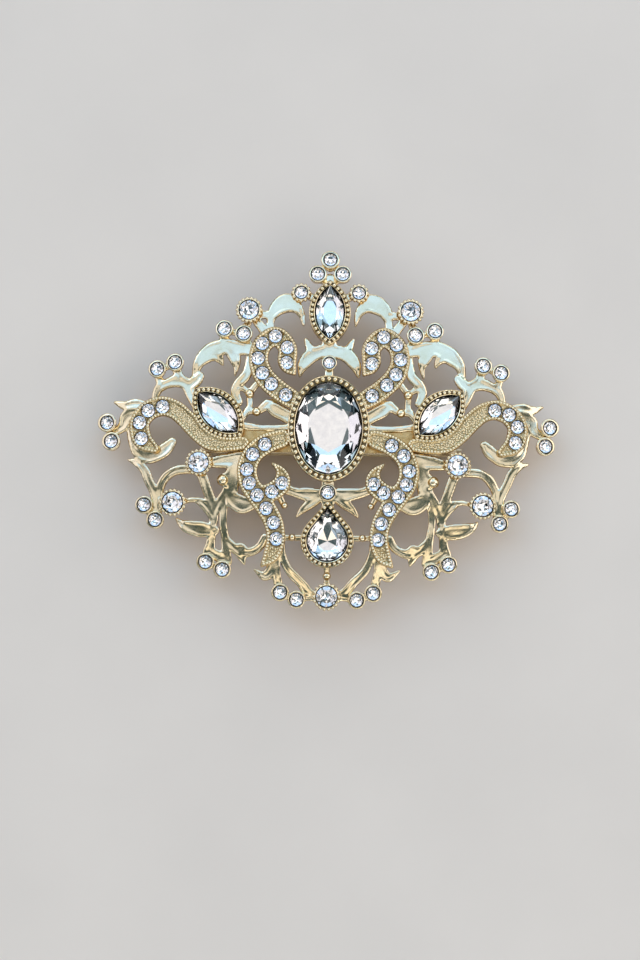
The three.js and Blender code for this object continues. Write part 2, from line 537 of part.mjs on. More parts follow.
addDomed('filigree_plate', toGeometry(filigreePlate()), GOLD);
addDomed('center_bezel', toGeometry(bezel(ovalOutline, OVAL, OVERLAY_FROM, 0, 0)), GRAINED_GOLD);
for (const [label, side] of [['left', -1], ['right', 1]]) {
  const scrolls = scrollSolids(side);
  addDomed(`pave_scroll_upper_${label}`, toGeometry(scrolls.upper), GRAINED_GOLD);
  addDomed(`pave_scroll_lower_${label}`, toGeometry(scrolls.lower), GRAINED_GOLD);
  addDomed(`side_scroll_${label}`, toGeometry(scrolls.side), GRAINED_GOLD);
}

function addLargeStone(name, outline, low, sizes) {
  addDomed(name, cutStone(outline, low, sizes.girdle, sizes.table), CRYSTAL);
}

const castingCulet = BEZEL_FLOOR + GAP;
const overlayCulet = OVERLAY_FROM + BEZEL_FLOOR + STONE_GAP;
const topMarquise = placed(marquiseOutline(MARQUISE.stone), 0, TOP_MARQUISE_V);
addLargeStone('oval_stone', ovalOutline(OVAL.stone), overlayCulet, OVAL);
addLargeStone('marquise_stone_top', topMarquise, castingCulet, MARQUISE);
addLargeStone('pear_stone', placed(pearOutline(PEAR.stone), 0, PEAR_V), castingCulet, PEAR);
for (const [label, side] of [['left', -1], ['right', 1]]) {
  const [u, v] = SIDE_MARQUISE_AT;
  const outline = placed(marquiseOutline(SIDE_MARQUISE.stone), side * u, v, -side * SIDE_TURN);
  addLargeStone(`marquise_stone_${label}`, outline, overlayCulet, SIDE_MARQUISE);
}
for (const [name, u, v, , stone, height] of CUPS) {
  for (const [label, at] of sides(u)) {
    const outline = placed(ovalOutline([stone, stone], 0, STONE_SIDES), at, v);
    const cut = cutStone(outline, height - CULET_DEPTH, height - GIRDLE_DEPTH, height + TABLE_RISE);
    addDomed(`stone_${name}${label}`, cut, CRYSTAL);
  }
}

addPiece(barrette, 'clip_base', toGeometry(clipBase()), STEEL);
addPiece(barrette, 'clasp_arm', toGeometry(claspArm()), STEEL);
addPiece(barrette, 'tension_bar', toGeometry(tensionBar()), STEEL);
addPiece(barrette, 'hinge_pin', toGeometry(hingePin()), STEEL);
addPiece(barrette, 'catch_prong_front', toGeometry(catchProng(-1)), STEEL);
addPiece(barrette, 'catch_prong_rear', toGeometry(catchProng(1)), STEEL);
addPiece(barrette, 'clip_rivet_left', toGeometry(rivet(-RIVET_X)), STEEL);
addPiece(barrette, 'clip_rivet_right', toGeometry(rivet(RIVET_X)), STEEL);

export default clip;
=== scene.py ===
import math
import random

import bmesh
import bpy
import numpy as np
from mathutils import Matrix, Vector


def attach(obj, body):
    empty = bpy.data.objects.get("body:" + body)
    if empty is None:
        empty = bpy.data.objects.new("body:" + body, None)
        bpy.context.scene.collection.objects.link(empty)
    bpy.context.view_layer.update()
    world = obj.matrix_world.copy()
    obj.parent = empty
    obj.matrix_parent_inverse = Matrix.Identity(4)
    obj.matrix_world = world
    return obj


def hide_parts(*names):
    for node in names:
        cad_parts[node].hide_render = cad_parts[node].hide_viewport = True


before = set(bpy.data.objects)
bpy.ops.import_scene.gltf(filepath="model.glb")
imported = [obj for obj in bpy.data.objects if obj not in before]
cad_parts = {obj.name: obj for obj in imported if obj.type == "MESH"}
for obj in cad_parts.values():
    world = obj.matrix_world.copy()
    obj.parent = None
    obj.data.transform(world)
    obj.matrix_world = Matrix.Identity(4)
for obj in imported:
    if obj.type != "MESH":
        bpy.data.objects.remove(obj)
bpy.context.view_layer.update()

# Lengths below are in millimetres in the ornament's own flat drawing: u to the right and v up from the
# middle of the centre stone, and heights above the casting's back. dome() carries them into the frame.
MM = 0.001
OUTLINE_MIDDLE_V = 0.1
DOME_RADIUS = 190
BACK_Z = 10
LEAF_HEIGHT = 1.6
OVERLAY_FROM = 1.3

# ---- the design, as in the CAD: stone cups as name, u, v, cup radius, stone radius, height ----
SMALL_CUP = 2.6
LARGE_CUP = 3.2
CUPS = [
    ["trefoil_top", 0, 34.5, 1.9, 1.25, SMALL_CUP],
    ["trefoil", 2.5, 31.5, 1.8, 1.25, SMALL_CUP],
    ["crown", 5.8, 27.6, 2.0, 1.2, SMALL_CUP],
    ["shoulder", 16.2, 23.9, 2.7, 1.9, LARGE_CUP],
    ["shoulder_outer", 21.1, 20.1, 1.8, 1.25, SMALL_CUP],
    ["shoulder_inner", 17.2, 19.1, 1.8, 1.25, SMALL_CUP],
    ["wing_outer", 34.5, 12.0, 1.8, 1.25, SMALL_CUP],
    ["wing_inner", 30.9, 13.3, 1.8, 1.25, SMALL_CUP],
    ["tip_upper", 44.5, 1.2, 1.9, 1.25, SMALL_CUP],
    ["tip_lower", 43.6, -2.55, 1.9, 1.25, SMALL_CUP],
    ["branch_inner", 25.8, -6.95, 2.7, 2.0, LARGE_CUP],
    ["branch_outer", 30.9, -14.9, 2.75, 2.0, LARGE_CUP],
    ["branch_tip_upper", 36.7, -15.3, 1.8, 1.25, SMALL_CUP],
    ["branch_tip_lower", 34.4, -18.3, 1.8, 1.25, SMALL_CUP],
    ["loop_outer", 24.2, -26.6, 1.8, 1.25, SMALL_CUP],
    ["loop_inner", 20.8, -28.1, 1.8, 1.25, SMALL_CUP],
    ["foot_outer", 9.25, -32.5, 1.8, 1.25, SMALL_CUP],
    ["foot_inner", 6.0, -33.9, 1.8, 1.25, SMALL_CUP],
    ["foot_middle", 0, -33.3, 2.8, 2.05, LARGE_CUP],
    ["neck_upper", 0, 13.2, 1.55, 1.05, SMALL_CUP],
    ["neck_lower", 0, -12.7, 1.75, 1.25, SMALL_CUP],
]
# ---- the casting's strands as rows of u, v and width, on the middle line and on one side ----
MIDDLE_STRANDS = [
    [[0, 34.5, 1.6], [0, 33.0, 1.2]],
    [[-2.5, 30.9, 1.2], [0, 30.2, 1.6], [2.5, 30.9, 1.2]],
    [[0, 28, 2.4], [0, 30.6, 2.2]],
    [[0, 14.4, 2.2], [0, 17.6, 2.8]],
    [[0, 12.6, 1.4], [0, 9.6, 1.8]],
    [[0, -9.8, 2.4], [0, -15.6, 2.4]],
    [[0, -26.5, 1.4], [0, -28.4, 0.9], [0, -30.4, 0.9], [0, -31.6, 1.4]],
]
PAIRED_STRANDS = [
    # trefoil links and the crown cup's link to the top marquise
    [[0.6, 33.6, 1.2], [2.0, 32.6, 1.2]],
    [[2.4, 26.4, 1.4], [4.8, 27.3, 1.4]],
    # crown crescent, from the upper scroll round to its hanging point
    [[11.9, 19.6, 1.4], [11.8, 22.2, 1.5], [10.6, 24.6, 3.0], [8.4, 25.7, 3.7], [6.6, 24.6, 2.1],
     [5.6, 22.9, 1.1], [5.2, 21.0, 0.3]],
    [[12.0, 23.2, 1.5], [14.2, 23.2, 1.5]],
    [[14.9, 22.2, 1.6], [13.0, 19.6, 1.8]],
    # side arch with its two horns
    [[27.0, 10.6, 0.7], [26.1, 13.4, 2.1], [24.2, 15.3, 3.3], [21.4, 16.6, 3.0], [18.2, 16.4, 2.7],
     [14.6, 15.6, 2.0]],
    [[23.3, 15.4, 2.6], [22.0, 14.2, 1.5], [21.3, 12.9, 0.3]],
    [[20.2, 16.6, 2.6], [19.1, 14.6, 2.4], [18.6, 12.6, 1.1], [18.9, 10.7, 0.3]],
    # strand beside the side marquise, with its two balls and the links round the small openings
    [[16.0, 14.6, 1.2], [16.4, 11.1, 1.8], [18.0, 9.2, 1.9], [18.7, 7.6, 1.7], [18.0, 5.4, 1.5]],
    [[14.0, 9.6, 1.1], [15.8, 7.0, 1.1], [15.8, 4.4, 1.1], [17.4, 2.0, 1.2]],
    [[15.8, 7.2, 1.0], [17.8, 8.6, 1.2]],
    [[10.9, 5.6, 1.0], [12.6, 4.6, 1.6], [14.4, 3.4, 1.1], [16.2, 3.7, 1.0]],
    [[12.2, 5.0, 1.6], [10.6, 3.8, 2.6], [7.2, 2.0, 2.4]],
    [[7.4, 0.2, 1.4], [12.5, 0.1, 1.1], [17.5, 0.6, 1.4]],
    # shoulder cups' links
    [[16.4, 21.6, 1.3], [17.0, 20.4, 1.3]],
    [[18.4, 19.4, 1.1], [19.9, 19.8, 1.1]],
    [[21.1, 18.8, 1.6], [21.3, 17.4, 1.8]],
    [[16.6, 17.8, 1.4], [16.0, 16.4, 1.6]],
    # double leaf under the top marquise
    [[0.4, 16.0, 2.4], [3.2, 15.1, 2.7], [5.0, 13.3, 2.3], [5.9, 10.7, 0.4]],
    [[3.0, 15.0, 1.8], [4.1, 16.8, 1.3], [4.8, 18.2, 0.5]],
    # wave leaf under the wing cups, its bud and its stem along the marquise
    [[35.2, 5.4, 0.9], [34.2, 8.1, 1.6], [32.2, 9.3, 1.9], [30.2, 9.7, 2.4], [28.5, 8.9, 2.2],
     [27.4, 6.4, 1.9], [26.0, 4.0, 1.8]],
    [[28.2, 8.4, 1.8], [26.8, 9.6, 2.3], [25.9, 10.6, 1.6]],
    [[30.7, 12.2, 1.5], [30.0, 10.2, 1.8]],
    [[34.4, 10.8, 1.3], [33.6, 8.8, 1.6]],
    [[32.2, 12.8, 1.1], [33.2, 12.4, 1.1]],
    # outer leaf and its link to the tip cups
    [[35.4, 4.6, 1.0], [38.8, 5.1, 1.8], [41.0, 4.8, 1.6], [43.1, 5.5, 0.3]],
    [[37.2, 3.4, 2.2], [40.5, 2.6, 2.5], [41.3, 0.6, 2.0], [43.6, -0.8, 1.3]],
    [[44.2, 0.2, 1.2], [43.9, -1.4, 1.2]],
    # leaf under the side scroll and its curl
    [[40.2, 0.2, 0.8], [39.5, -2.6, 1.1], [38.3, -4.7, 2.0], [36.3, -5.6, 2.4], [34.3, -5.2, 2.6],
     [32.4, -3.9, 2.4], [31.3, -2.6, 1.7]],
    # outer branch from its tip to the branch cups
    [[40.1, -6.2, 0.3], [38.4, -6.7, 1.4], [36.8, -8.3, 1.7], [35.8, -10.6, 1.8], [34.6, -13.0, 1.8],
     [33.8, -15.4, 2.2]],
    [[34.8, -15.4, 2.4], [34.2, -17.0, 2.0]],
    [[35.2, -17.2, 1.2], [36.0, -16.4, 1.2]],
    # arc between the two branch cups
    [[27.4, -8.1, 1.8], [30.5, -8.4, 1.6], [32.4, -9.7, 1.7], [33.6, -12.0, 1.5], [33.6, -13.6, 1.5]],
    # strand down from the inner branch cup, the thin wave and the leaf beneath the outer cup
    [[25.4, -8.6, 1.9], [24.1, -12.1, 1.8], [23.1, -15.2, 1.9], [22.6, -18.4, 1.2]],
    [[29.0, -14.6, 0.8], [26.4, -14.2, 0.9], [24.5, -15.2, 1.9], [23.0, -17.4, 1.4]],
    [[22.4, -20.3, 1.6], [25.0, -20.1, 3.0], [27.4, -19.7, 2.6], [29.2, -18.9, 1.3], [30.1, -18.0, 0.3]],
    # the two ribbons beside the round loop
    [[19.6, -11.6, 1.3], [21.4, -14.2, 1.4], [22.35, -16.6, 1.4], [22.9, -19.2, 1.4], [23.1, -21.6, 1.5],
     [23.6, -25.0, 2.2]],
    [[20.1, -12.4, 1.2], [20.6, -15.4, 1.3], [20.8, -18.6, 1.3], [20.4, -21.6, 1.5], [19.9, -26.4, 1.9]],
    [[23.6, -24.4, 2.0], [20.6, -25.9, 2.2]],
    [[22.0, -27.6, 1.3], [23.0, -27.1, 1.3]],
    # crescent below the round loop and its horn
    [[12.4, -21.6, 1.4], [13.4, -23.4, 1.5], [15.4, -24.5, 1.7], [17.8, -24.2, 2.0], [20.1, -22.2, 1.4]],
    [[17.2, -24.0, 2.4], [16.9, -25.6, 1.5], [16.5, -26.9, 0.3]],
    # lobe over the loop, bud below the inner branch cup and the leaf that joins them
    [[14.6, -15.0, 2.0], [17.4, -15.0, 3.6], [19.6, -13.4, 2.2], [20.1, -11.8, 1.4]],
    [[16.4, -6.0, 3.2], [20.0, -6.4, 2.8], [24.0, -6.9, 1.6]],
    [[17.6, -6.4, 2.4], [18.8, -9.0, 3.0], [19.2, -12.2, 2.4]],
    [[19.2, -9.6, 2.4], [21.0, -10.3, 2.2]],
    # lower horn, the foot's strands and links
    [[10.9, -24.6, 1.8], [10.9, -27.6, 2.0], [12.1, -29.2, 1.9], [14.4, -28.0, 0.3]],
    [[10.0, -24.6, 1.3], [10.1, -28.5, 1.5], [9.5, -31.4, 1.6]],
    [[9.1, -22.4, 1.2], [8.9, -25.0, 1.3], [7.6, -28.0, 1.6], [5.2, -30.5, 1.7], [3.4, -32.6, 1.9],
     [1.6, -33.4, 1.9]],
    [[3.4, -33.2, 1.5], [5.2, -33.6, 1.5]],
    [[7.2, -33.4, 1.3], [8.2, -33.0, 1.3]],
    # links round the pear
    [[9.4, -21.6, 1.0], [4.6, -21.6, 1.0]],
    [[10.2, -12.4, 1.2], [8.6, -15.4, 0.9]],
    [[0.6, -13.2, 2.6], [3.4, -13.1, 2.7], [6.2, -12.7, 1.9], [9.2, -11.6, 1.8]],
    [[2.6, -14.2, 2.0], [4.7, -15.8, 1.5], [6.1, -17.4, 0.3]],
]
# ---- balls as u, v and radius, then the scrolls of one side as strands ----
PAIRED_BALLS = [
    [15.8, 7.0, 0.95], [14.4, 3.4, 0.95], [7.0, -21.6, 0.75], [8.6, -15.3, 0.7], [21.0, -10.3, 1.2],
]
MIDDLE_BALLS = [[0, -29.2, 0.85]]
UPPER_SCROLL = [
    [7.4, 5.9, 3.6], [8.6, 6.6, 3.8], [11.5, 8.8, 3.9], [13.3, 11.0, 3.9], [14.15, 14.0, 3.7],
    [13.3, 16.9, 3.7], [10.8, 18.5, 3.8], [8.45, 16.3, 3.6], [8.4, 13.2, 3.4], [6.9, 10.9, 0.5],
]
LOWER_SCROLL = [
    [9.3, -2.1, 3.4], [12.6, -3.3, 3.9], [15.0, -5.3, 3.9], [16.1, -8.3, 3.9], [15.6, -11.0, 3.9],
    [14.0, -13.4, 3.9], [12.2, -16.0, 3.8], [10.7, -18.8, 3.7], [10.2, -22.0, 3.5], [11.0, -25.0, 3.0],
    [12.9, -27.2, 0.5],
]
LOWER_HOOK = [
    [14.0, -13.3, 3.0], [11.1, -12.7, 3.6], [9.2, -11.0, 3.4], [9.3, -8.8, 1.9], [11.0, -7.1, 0.4],
]
SIDE_SCROLL = [
    [17.0, -3.1, 2.4], [19.9, -2.9, 3.4], [23.4, -2.5, 3.9], [26.1, -0.5, 3.9], [28.6, 1.9, 3.6],
    [30.8, 3.7, 3.6], [33.4, 4.4, 3.8], [36.1, 3.5, 3.9], [37.8, 1.1, 3.9], [37.3, -2.1, 3.8],
    [34.9, -4.0, 1.9],
]
# ---- the casting's pad, which the barrette is riveted to ----
CLIP_PAD = [[-25.0, -1.5, 3.4], [-17, -2.1, 4.4], [0, -2.1, 5.0], [17, -2.1, 4.4], [25.0, -1.5, 3.4]]
PAD_TOP = 1.0
RIVET_U = 12
CLIP_LINE_V = -2.1
BOSS_RADIUS = 1.7
BOSS_LOW = -0.85
RAIL_INSET = 1.2  # how much narrower the rails under the scrolls are

# ---- large stones and their bezels: half sizes, place, turn, heights, wall and beads ----
OVAL = {
    "stone": (6.5, 9.1), "bezel": (8.1, 10.6), "at": (0, 0), "turn": 0,
    "low": OVERLAY_FROM, "top": 3.8, "girdle": 3.5, "table": 5.3, "culet": 2.4,
    "wall": 1.55, "bead": 0.52, "spacing": 1.25,
}
LOW_SETTING = {
    "turn": 0, "low": 0, "top": 3.2, "girdle": 2.9, "table": 4.2, "wall": 1.3, "bead": 0.42, "spacing": 0.98,
}
TOP_MARQUISE = {
    **LOW_SETTING, "stone": (2.75, 5.55), "bezel": (4.2, 6.7), "at": (0, 23.5), "culet": 2.4,
}
SIDE_MARQUISE = {
    "stone": (2.8, 5.55), "bezel": (4.3, 6.8), "at": (22.05, 3.0), "turn": -math.pi / 4,
    "low": OVERLAY_FROM, "top": 3.4, "girdle": 3.1, "table": 4.4, "culet": 2.6,
    "wall": 1.35, "bead": 0.43, "spacing": 0.98,
}
PEAR = {
    **LOW_SETTING, "stone": (3.9, 6.6), "bezel": (5.3, 7.9), "at": (0, -22.3), "culet": 2.1,
}
STONE_GAP = 0.15  # between a stone and its seat

# ---- pave stones in the scrolls of one side ----
PAVE_RADIUS = 1.3
UPPER_PAVE = [
    (10.8, 18.5), (13.4, 17.0), (14.2, 14.0), (13.3, 11.0), (11.5, 8.8), (8.6, 6.6), (8.4, 16.2), (8.5, 13.1),
]
LOWER_PAVE = [
    (12.6, -3.3), (15.0, -5.3), (16.1, -8.3), (15.6, -11.0), (14.0, -13.4), (11.1, -12.7), (9.1, -11.0),
    (12.2, -16.0), (10.7, -18.8), (10.1, -22.0),
]
SIDE_PAVE = [(33.2, 4.25), (36.1, 3.5), (37.8, 1.1), (37.4, -2.1)]


def dome(u, v, h):
    """A point of the flat drawing, h above the casting's back, as a place in the frame."""
    drop = (u * u + v * v) / (2 * DOME_RADIUS)
    return (u * MM, (v - OUTLINE_MIDDLE_V) * MM, (BACK_Z + h - drop) * MM)


# ---- mesh building ----
class Body:
    """Points, faces and material slots of one piece, gathered in the flat drawing before it is bent."""

    def __init__(self):
        self.points = []
        self.faces = []
        self.slots = []

    def add(self, points, faces, slots):
        base = len(self.points)
        self.points += points
        self.faces += [[base + i for i in corners] for corners in faces]
        self.slots += slots

    def stack(self, rings, slots):
        """A closed solid through equal closed rings, from the bottom up, with one slot for each band."""
        count = len(rings[0])
        faces = [list(reversed(range(count)))]
        face_slots = [slots[0]]
        for level, slot in enumerate(slots):
            for i in range(count):
                j = (i + 1) % count
                a = level * count
                faces.append([a + i, a + j, a + count + j, a + count + i])
                face_slots.append(slot)
        last = (len(rings) - 1) * count
        faces.append([last + i for i in range(count)])
        face_slots.append(slots[-1])
        self.add([p for ring in rings for p in ring], faces, face_slots)

    def flipped(self):
        """The same body on the other side of the middle line."""
        other = Body()
        other.points = [(-u, v, h) for u, v, h in self.points]
        other.faces = [corners[::-1] for corners in self.faces]
        other.slots = self.slots
        return other

    def piece(self, name, materials, sharp=50):
        """The Blender object of it all, bent onto the dome; sharp is in degrees."""
        mesh = bpy.data.meshes.new(name)
        mesh.from_pydata([dome(*p) for p in self.points], [], self.faces)
        mesh.polygons.foreach_set("material_index", self.slots)
        mesh.polygons.foreach_set("use_smooth", [True] * len(self.faces))
        mesh.set_sharp_from_angle(angle=math.radians(sharp))
        for material in materials:
            mesh.materials.append(material)
        made = bpy.data.objects.new(name, mesh)
        bpy.context.collection.objects.link(made)
        return made


def mounted(made, body, slot, *nodes):
    """The piece rides on its body and stands for the CAD nodes; the slot argument is not used."""
    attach(made, body)
    if nodes:
        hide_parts(*nodes)


# ---- outlines, each about its own middle ----
CURVE_STEP = 0.4


def oval(size, extra=0.0, count=96):
    a, b = size
    turn = 2 * math.pi / count
    return [((a + extra) * math.cos(i * turn), (b + extra) * math.sin(i * turn)) for i in range(count)]


def circle(radius, extra=0.0, count=28):
    return oval((radius, radius), extra, count)


def marquise(size, extra=0.0, count=56):
    """Two equal arcs that meet in a point at each end, anticlockwise from the lower point."""
    half = size[0] + extra
    length = size[1] + extra
    radius = (half * half + length * length) / (2 * half)
    reach = math.asin(length / radius)
    side = []
    for i in range(count // 2):
        angle = reach * (4 * i / count - 1)
        side.append((radius * math.cos(angle) - (radius - half), radius * math.sin(angle)))
    return side + [(-x, -y) for x, y in side]


def pear(size, extra=0.0, count=64):
    """A circle with one point drawn out along +v, anticlockwise from that point."""
    radius = size[0] + extra
    tip = size[1] + extra
    touch = math.asin(radius / tip)
    start = math.pi - touch
    sweep = math.pi + 2 * touch
    straight = count // 8
    arc = []
    for i in range(count - 2 * straight + 1):
        angle = start + sweep * i / (count - 2 * straight)
        arc.append((radius * math.cos(angle), radius * math.sin(angle)))
    x, y = arc[0]
    down = [(x * k / straight, tip + (y - tip) * k / straight) for k in range(straight)]
    up = [(-x, y) for x, y in reversed(down[1:])]
    return down + arc + up


def moved(outline, at, turn=0.0):
    """An outline turned, in radians, then carried to its place."""
    cos, sin = math.cos(turn), math.sin(turn)
    return [(at[0] + x * cos - y * sin, at[1] + x * sin + y * cos) for x, y in outline]


def spaced(outline, spacing):
    """Points at an equal spacing, near the given one, round a closed outline."""
    loop = np.array(outline + outline[:1])
    steps = np.hypot(*np.diff(loop, axis=0).T)
    along = np.concatenate([[0], np.cumsum(steps)])
    count = max(3, round(along[-1] / spacing))
    at = np.arange(count) * along[-1] / count
    return list(zip(np.interp(at, along, loop[:, 0]), np.interp(at, along, loop[:, 1])))


def smooth_line(points):
    """Centripetal Catmull-Rom curve through [u, v, width] points, as rows about one step apart."""
    knots = np.array(points, float)
    padded = np.vstack([2 * knots[0] - knots[1], knots, 2 * knots[-1] - knots[-2]])
    rows = []
    for k in range(1, len(padded) - 2):
        p = padded[k - 1:k + 3]
        gaps = np.linalg.norm(np.diff(p, axis=0), axis=1) ** 0.5
        t = np.concatenate([[0], np.cumsum(gaps)])
        count = max(2, round(np.linalg.norm((p[2] - p[1])[:2]) / CURVE_STEP))
        for at in np.linspace(t[1], t[2], count, endpoint=False):
            mix = [p[i] + (p[i + 1] - p[i]) * (at - t[i]) / (t[i + 1] - t[i]) for i in range(3)]
            low = mix[0] + (mix[1] - mix[0]) * (at - t[0]) / (t[2] - t[0])
            high = mix[1] + (mix[2] - mix[1]) * (at - t[1]) / (t[3] - t[1])
            rows.append(low + (high - low) * (at - t[1]) / (t[2] - t[1]))
    rows.append(knots[-1])
    return np.array(rows)


# ---- reliefs ----
FAR = 3.0  # distances are only kept up to this
MARGIN = 1.5  # how far past a shape its distances are worked out
FILLET = 0.45  # how far strands run into each other where they meet
EDGE_SNAP = 0.08  # an edge point keeps this share of a grid step from the grid points
SHORTEST_LOOP = 9  # points in the smallest loop that is kept
CELL = ((0, 0), (0, 1), (1, 1), (1, 0))  # the corners of a grid cell as row and column, anticlockwise


def outline_distance(outline, u, v):
    """Signed distances of points from a closed outline, below zero inside."""
    nearest = np.full(u.shape, np.inf)
    inside = np.zeros(u.shape, bool)
    for (x0, y0), (x1, y1) in zip(outline, outline[1:] + outline[:1]):
        x, y = x1 - x0, y1 - y0
        share = np.clip(((u - x0) * x + (v - y0) * y) / (x * x + y * y), 0, 1)
        nearest = np.minimum(nearest, np.hypot(u - x0 - share * x, v - y0 - share * y))
        if y:
            inside ^= ((y0 > v) != (y1 > v)) & (u < x0 + (v - y0) * x / y)
    return np.where(inside, -nearest, nearest)


class Field:
    """A shape of the flat drawing as signed distances on a grid, below zero inside."""

    def __init__(self, low, high, step):
        self.step = step
        self.u, self.v = np.meshgrid(np.arange(low[0], high[0], step), np.arange(low[1], high[1], step))
        self.distance = np.full(self.u.shape, FAR)
        self.half = np.zeros(self.u.shape)  # half the width of the strand at each point

    def window(self, points, margin):
        """The part of the grid round some points, as slices."""
        low = np.min([p[:2] for p in points], axis=0) - margin
        high = np.max([p[:2] for p in points], axis=0) + margin
        rows = slice(*np.searchsorted(self.v[:, 0], (low[1], high[1])))
        return rows, slice(*np.searchsorted(self.u[0], (low[0], high[0])))

    def join(self, part, distance, half):
        """A union with a small fillet."""
        old = self.distance[part]
        share = np.clip(0.5 + 0.5 * (old - distance) / FILLET, 0, 1)
        self.distance[part] = old + (distance - old) * share - FILLET * share * (1 - share)
        self.half[part] += (half - self.half[part]) * share

    def add_strand(self, points, extra=0.0):
        """Adds a strand along [u, v, width] points, grown on each side by the extra."""
        line = smooth_line(points)
        part = self.window(line, line[:, 2].max() / 2 + MARGIN)
        u, v = self.u[part], self.v[part]
        distance = np.full(u.shape, FAR)
        half = np.zeros(u.shape)
        for a, b in zip(line, line[1:]):
            x, y = (b - a)[:2]
            share = np.clip(((u - a[0]) * x + (v - a[1]) * y) / (x * x + y * y), 0, 1)
            width = (a[2] + (b[2] - a[2]) * share) / 2 + extra
            found = np.hypot(u - a[0] - share * x, v - a[1] - share * y) - width
            half = np.where(found < distance, width, half)
            distance = np.minimum(distance, found)
        self.join(part, distance, half)

    def add_outline(self, outline, half):
        part = self.window(outline, MARGIN)
        self.join(part, outline_distance(outline, self.u[part], self.v[part]), half)

    def cut_outline(self, outline):
        part = self.window(outline, MARGIN)
        keep = -outline_distance(outline, self.u[part], self.v[part])
        self.distance[part] = np.maximum(self.distance[part], keep)

    def cells(self, inset=0.0):
        """Polygons over the inside, the places of their corners, and which edge point follows which."""
        distance = self.distance + inset
        inside = distance < 0
        index = {}
        places = []
        faces = []
        follows = {}

        def corner(a, b):
            key = (a, b) if a <= b else (b, a)
            if key not in index:
                share = 0.0
                if a != b:
                    a, b = key
                    share = distance[a] / (distance[a] - distance[b])
                    share = min(max(share, EDGE_SNAP), 1 - EDGE_SNAP)
                index[key] = len(places)
                places.append((a[0] + (b[0] - a[0]) * share, a[1] + (b[1] - a[1]) * share))
            return index[key]

        touched = inside[:-1, :-1] | inside[1:, :-1] | inside[:-1, 1:] | inside[1:, 1:]
        for row, column in zip(*np.nonzero(touched)):
            ring = [(int(row) + r, int(column) + c) for r, c in CELL]
            face = []
            leaving = []
            for a, b in zip(ring, ring[1:] + ring[:1]):
                if inside[a]:
                    face.append(corner(a, a))
                if inside[a] != inside[b]:
                    face.append(corner(a, b))
                    if inside[a]:
                        leaving.append(len(face) - 1)
            for at in leaving:
                follows[face[at]] = face[(at + 1) % len(face)]
            faces.append(face)
        return places, faces, follows

    def sample(self, values, places):
        """Values of a grid array at places between its points."""
        rows, columns = np.array(places).T
        r, c = rows.astype(int), columns.astype(int)
        r2, c2 = np.minimum(r + 1, values.shape[0] - 1), np.minimum(c + 1, values.shape[1] - 1)
        y, x = rows - r, columns - c
        low = values[r, c] * (1 - x) + values[r, c2] * x
        high = values[r2, c] * (1 - x) + values[r2, c2] * x
        return low * (1 - y) + high * y

    def loops(self, inset):
        """Closed lines that run inside the shape's edge, at that distance from it."""
        places, _, follows = self.cells(inset)
        u = self.sample(self.u, places)
        v = self.sample(self.v, places)
        found = []
        while follows:
            point = next(iter(follows))
            loop = []
            while point in follows:
                loop.append((u[point], v[point]))
                point = follows.pop(point)
            if len(loop) >= SHORTEST_LOOP:
                found.append(loop)
        return found


# a wall's rings, from the top edge down: how far out, and how far down as a share of its height
WALL = ((0.07, 0.09), (0.09, 0.22), (0.07, 0.85), (-0.05, 1.0))


def relief(body, field, height, low, wall_slot):
    """A closed solid over a field's inside, its top at the heights given and its bottom flat."""
    places, faces, follows = field.cells()
    u, v, top = (field.sample(values, places) for values in (field.u, field.v, height))
    out_v, out_u = (field.sample(g, places) for g in np.gradient(field.distance, field.step))
    size = np.maximum(np.hypot(out_u, out_v), 0.3)
    out_u, out_v = out_u / size, out_v / size
    count = len(places)
    edge = sorted(follows)
    wall_rows = [np.arange(count)]
    points = list(zip(u, v, top))
    for out, down in WALL:
        row = np.full(count, -1)
        row[edge] = len(points) + np.arange(len(edge))
        level = (u + out_u * out, v + out_v * out, top + (low - top) * down)
        points += list(zip(*(values[edge] for values in level)))
        wall_rows.append(row)
    inner = np.setdiff1d(np.arange(count), edge)
    under = wall_rows[-1].copy()
    under[inner] = len(points) + np.arange(len(inner))
    points += [(u[i], v[i], low) for i in inner]
    walls = []
    for upper, lower in zip(wall_rows, wall_rows[1:]):
        walls += [[upper[b], upper[a], lower[a], lower[b]] for a, b in follows.items()]
    back = [[under[i] for i in reversed(face)] for face in faces]
    slots = [0] * len(faces) + [wall_slot] * (len(walls) + len(back))
    body.add([tuple(map(float, p)) for p in points], faces + walls + back, slots)


# ---- small forms ----
def bead(body, u, v, radius, height, slot=0, rings=4, count=8):
    """A small ball whose middle is at that height."""
    stack = []
    for k in range(rings + 1):
        tilt = math.pi * (0.06 + 0.88 * k / rings) - math.pi / 2
        h = height + radius * math.sin(tilt)
        stack.append([(u + x, v + y, h) for x, y in circle(radius * math.cos(tilt), 0, count)])
    body.stack(stack, [slot] * rings)


def walled(body, outline_of, size, at, turn, profile, slots):
    """A solid whose rings are the outline grown by each (extra, height) of a profile, from the bottom up."""
    rings = [[(x, y, h) for x, y in moved(outline_of(size, extra), at, turn)] for extra, h in profile]
    body.stack(rings, slots)


def both_sides(u):
    """Two mirrored places, or one on the middle line."""
    return (u,) if u == 0 else (-u, u)


def mirrored(points):
    return [[-u, v, size] for u, v, size in points]


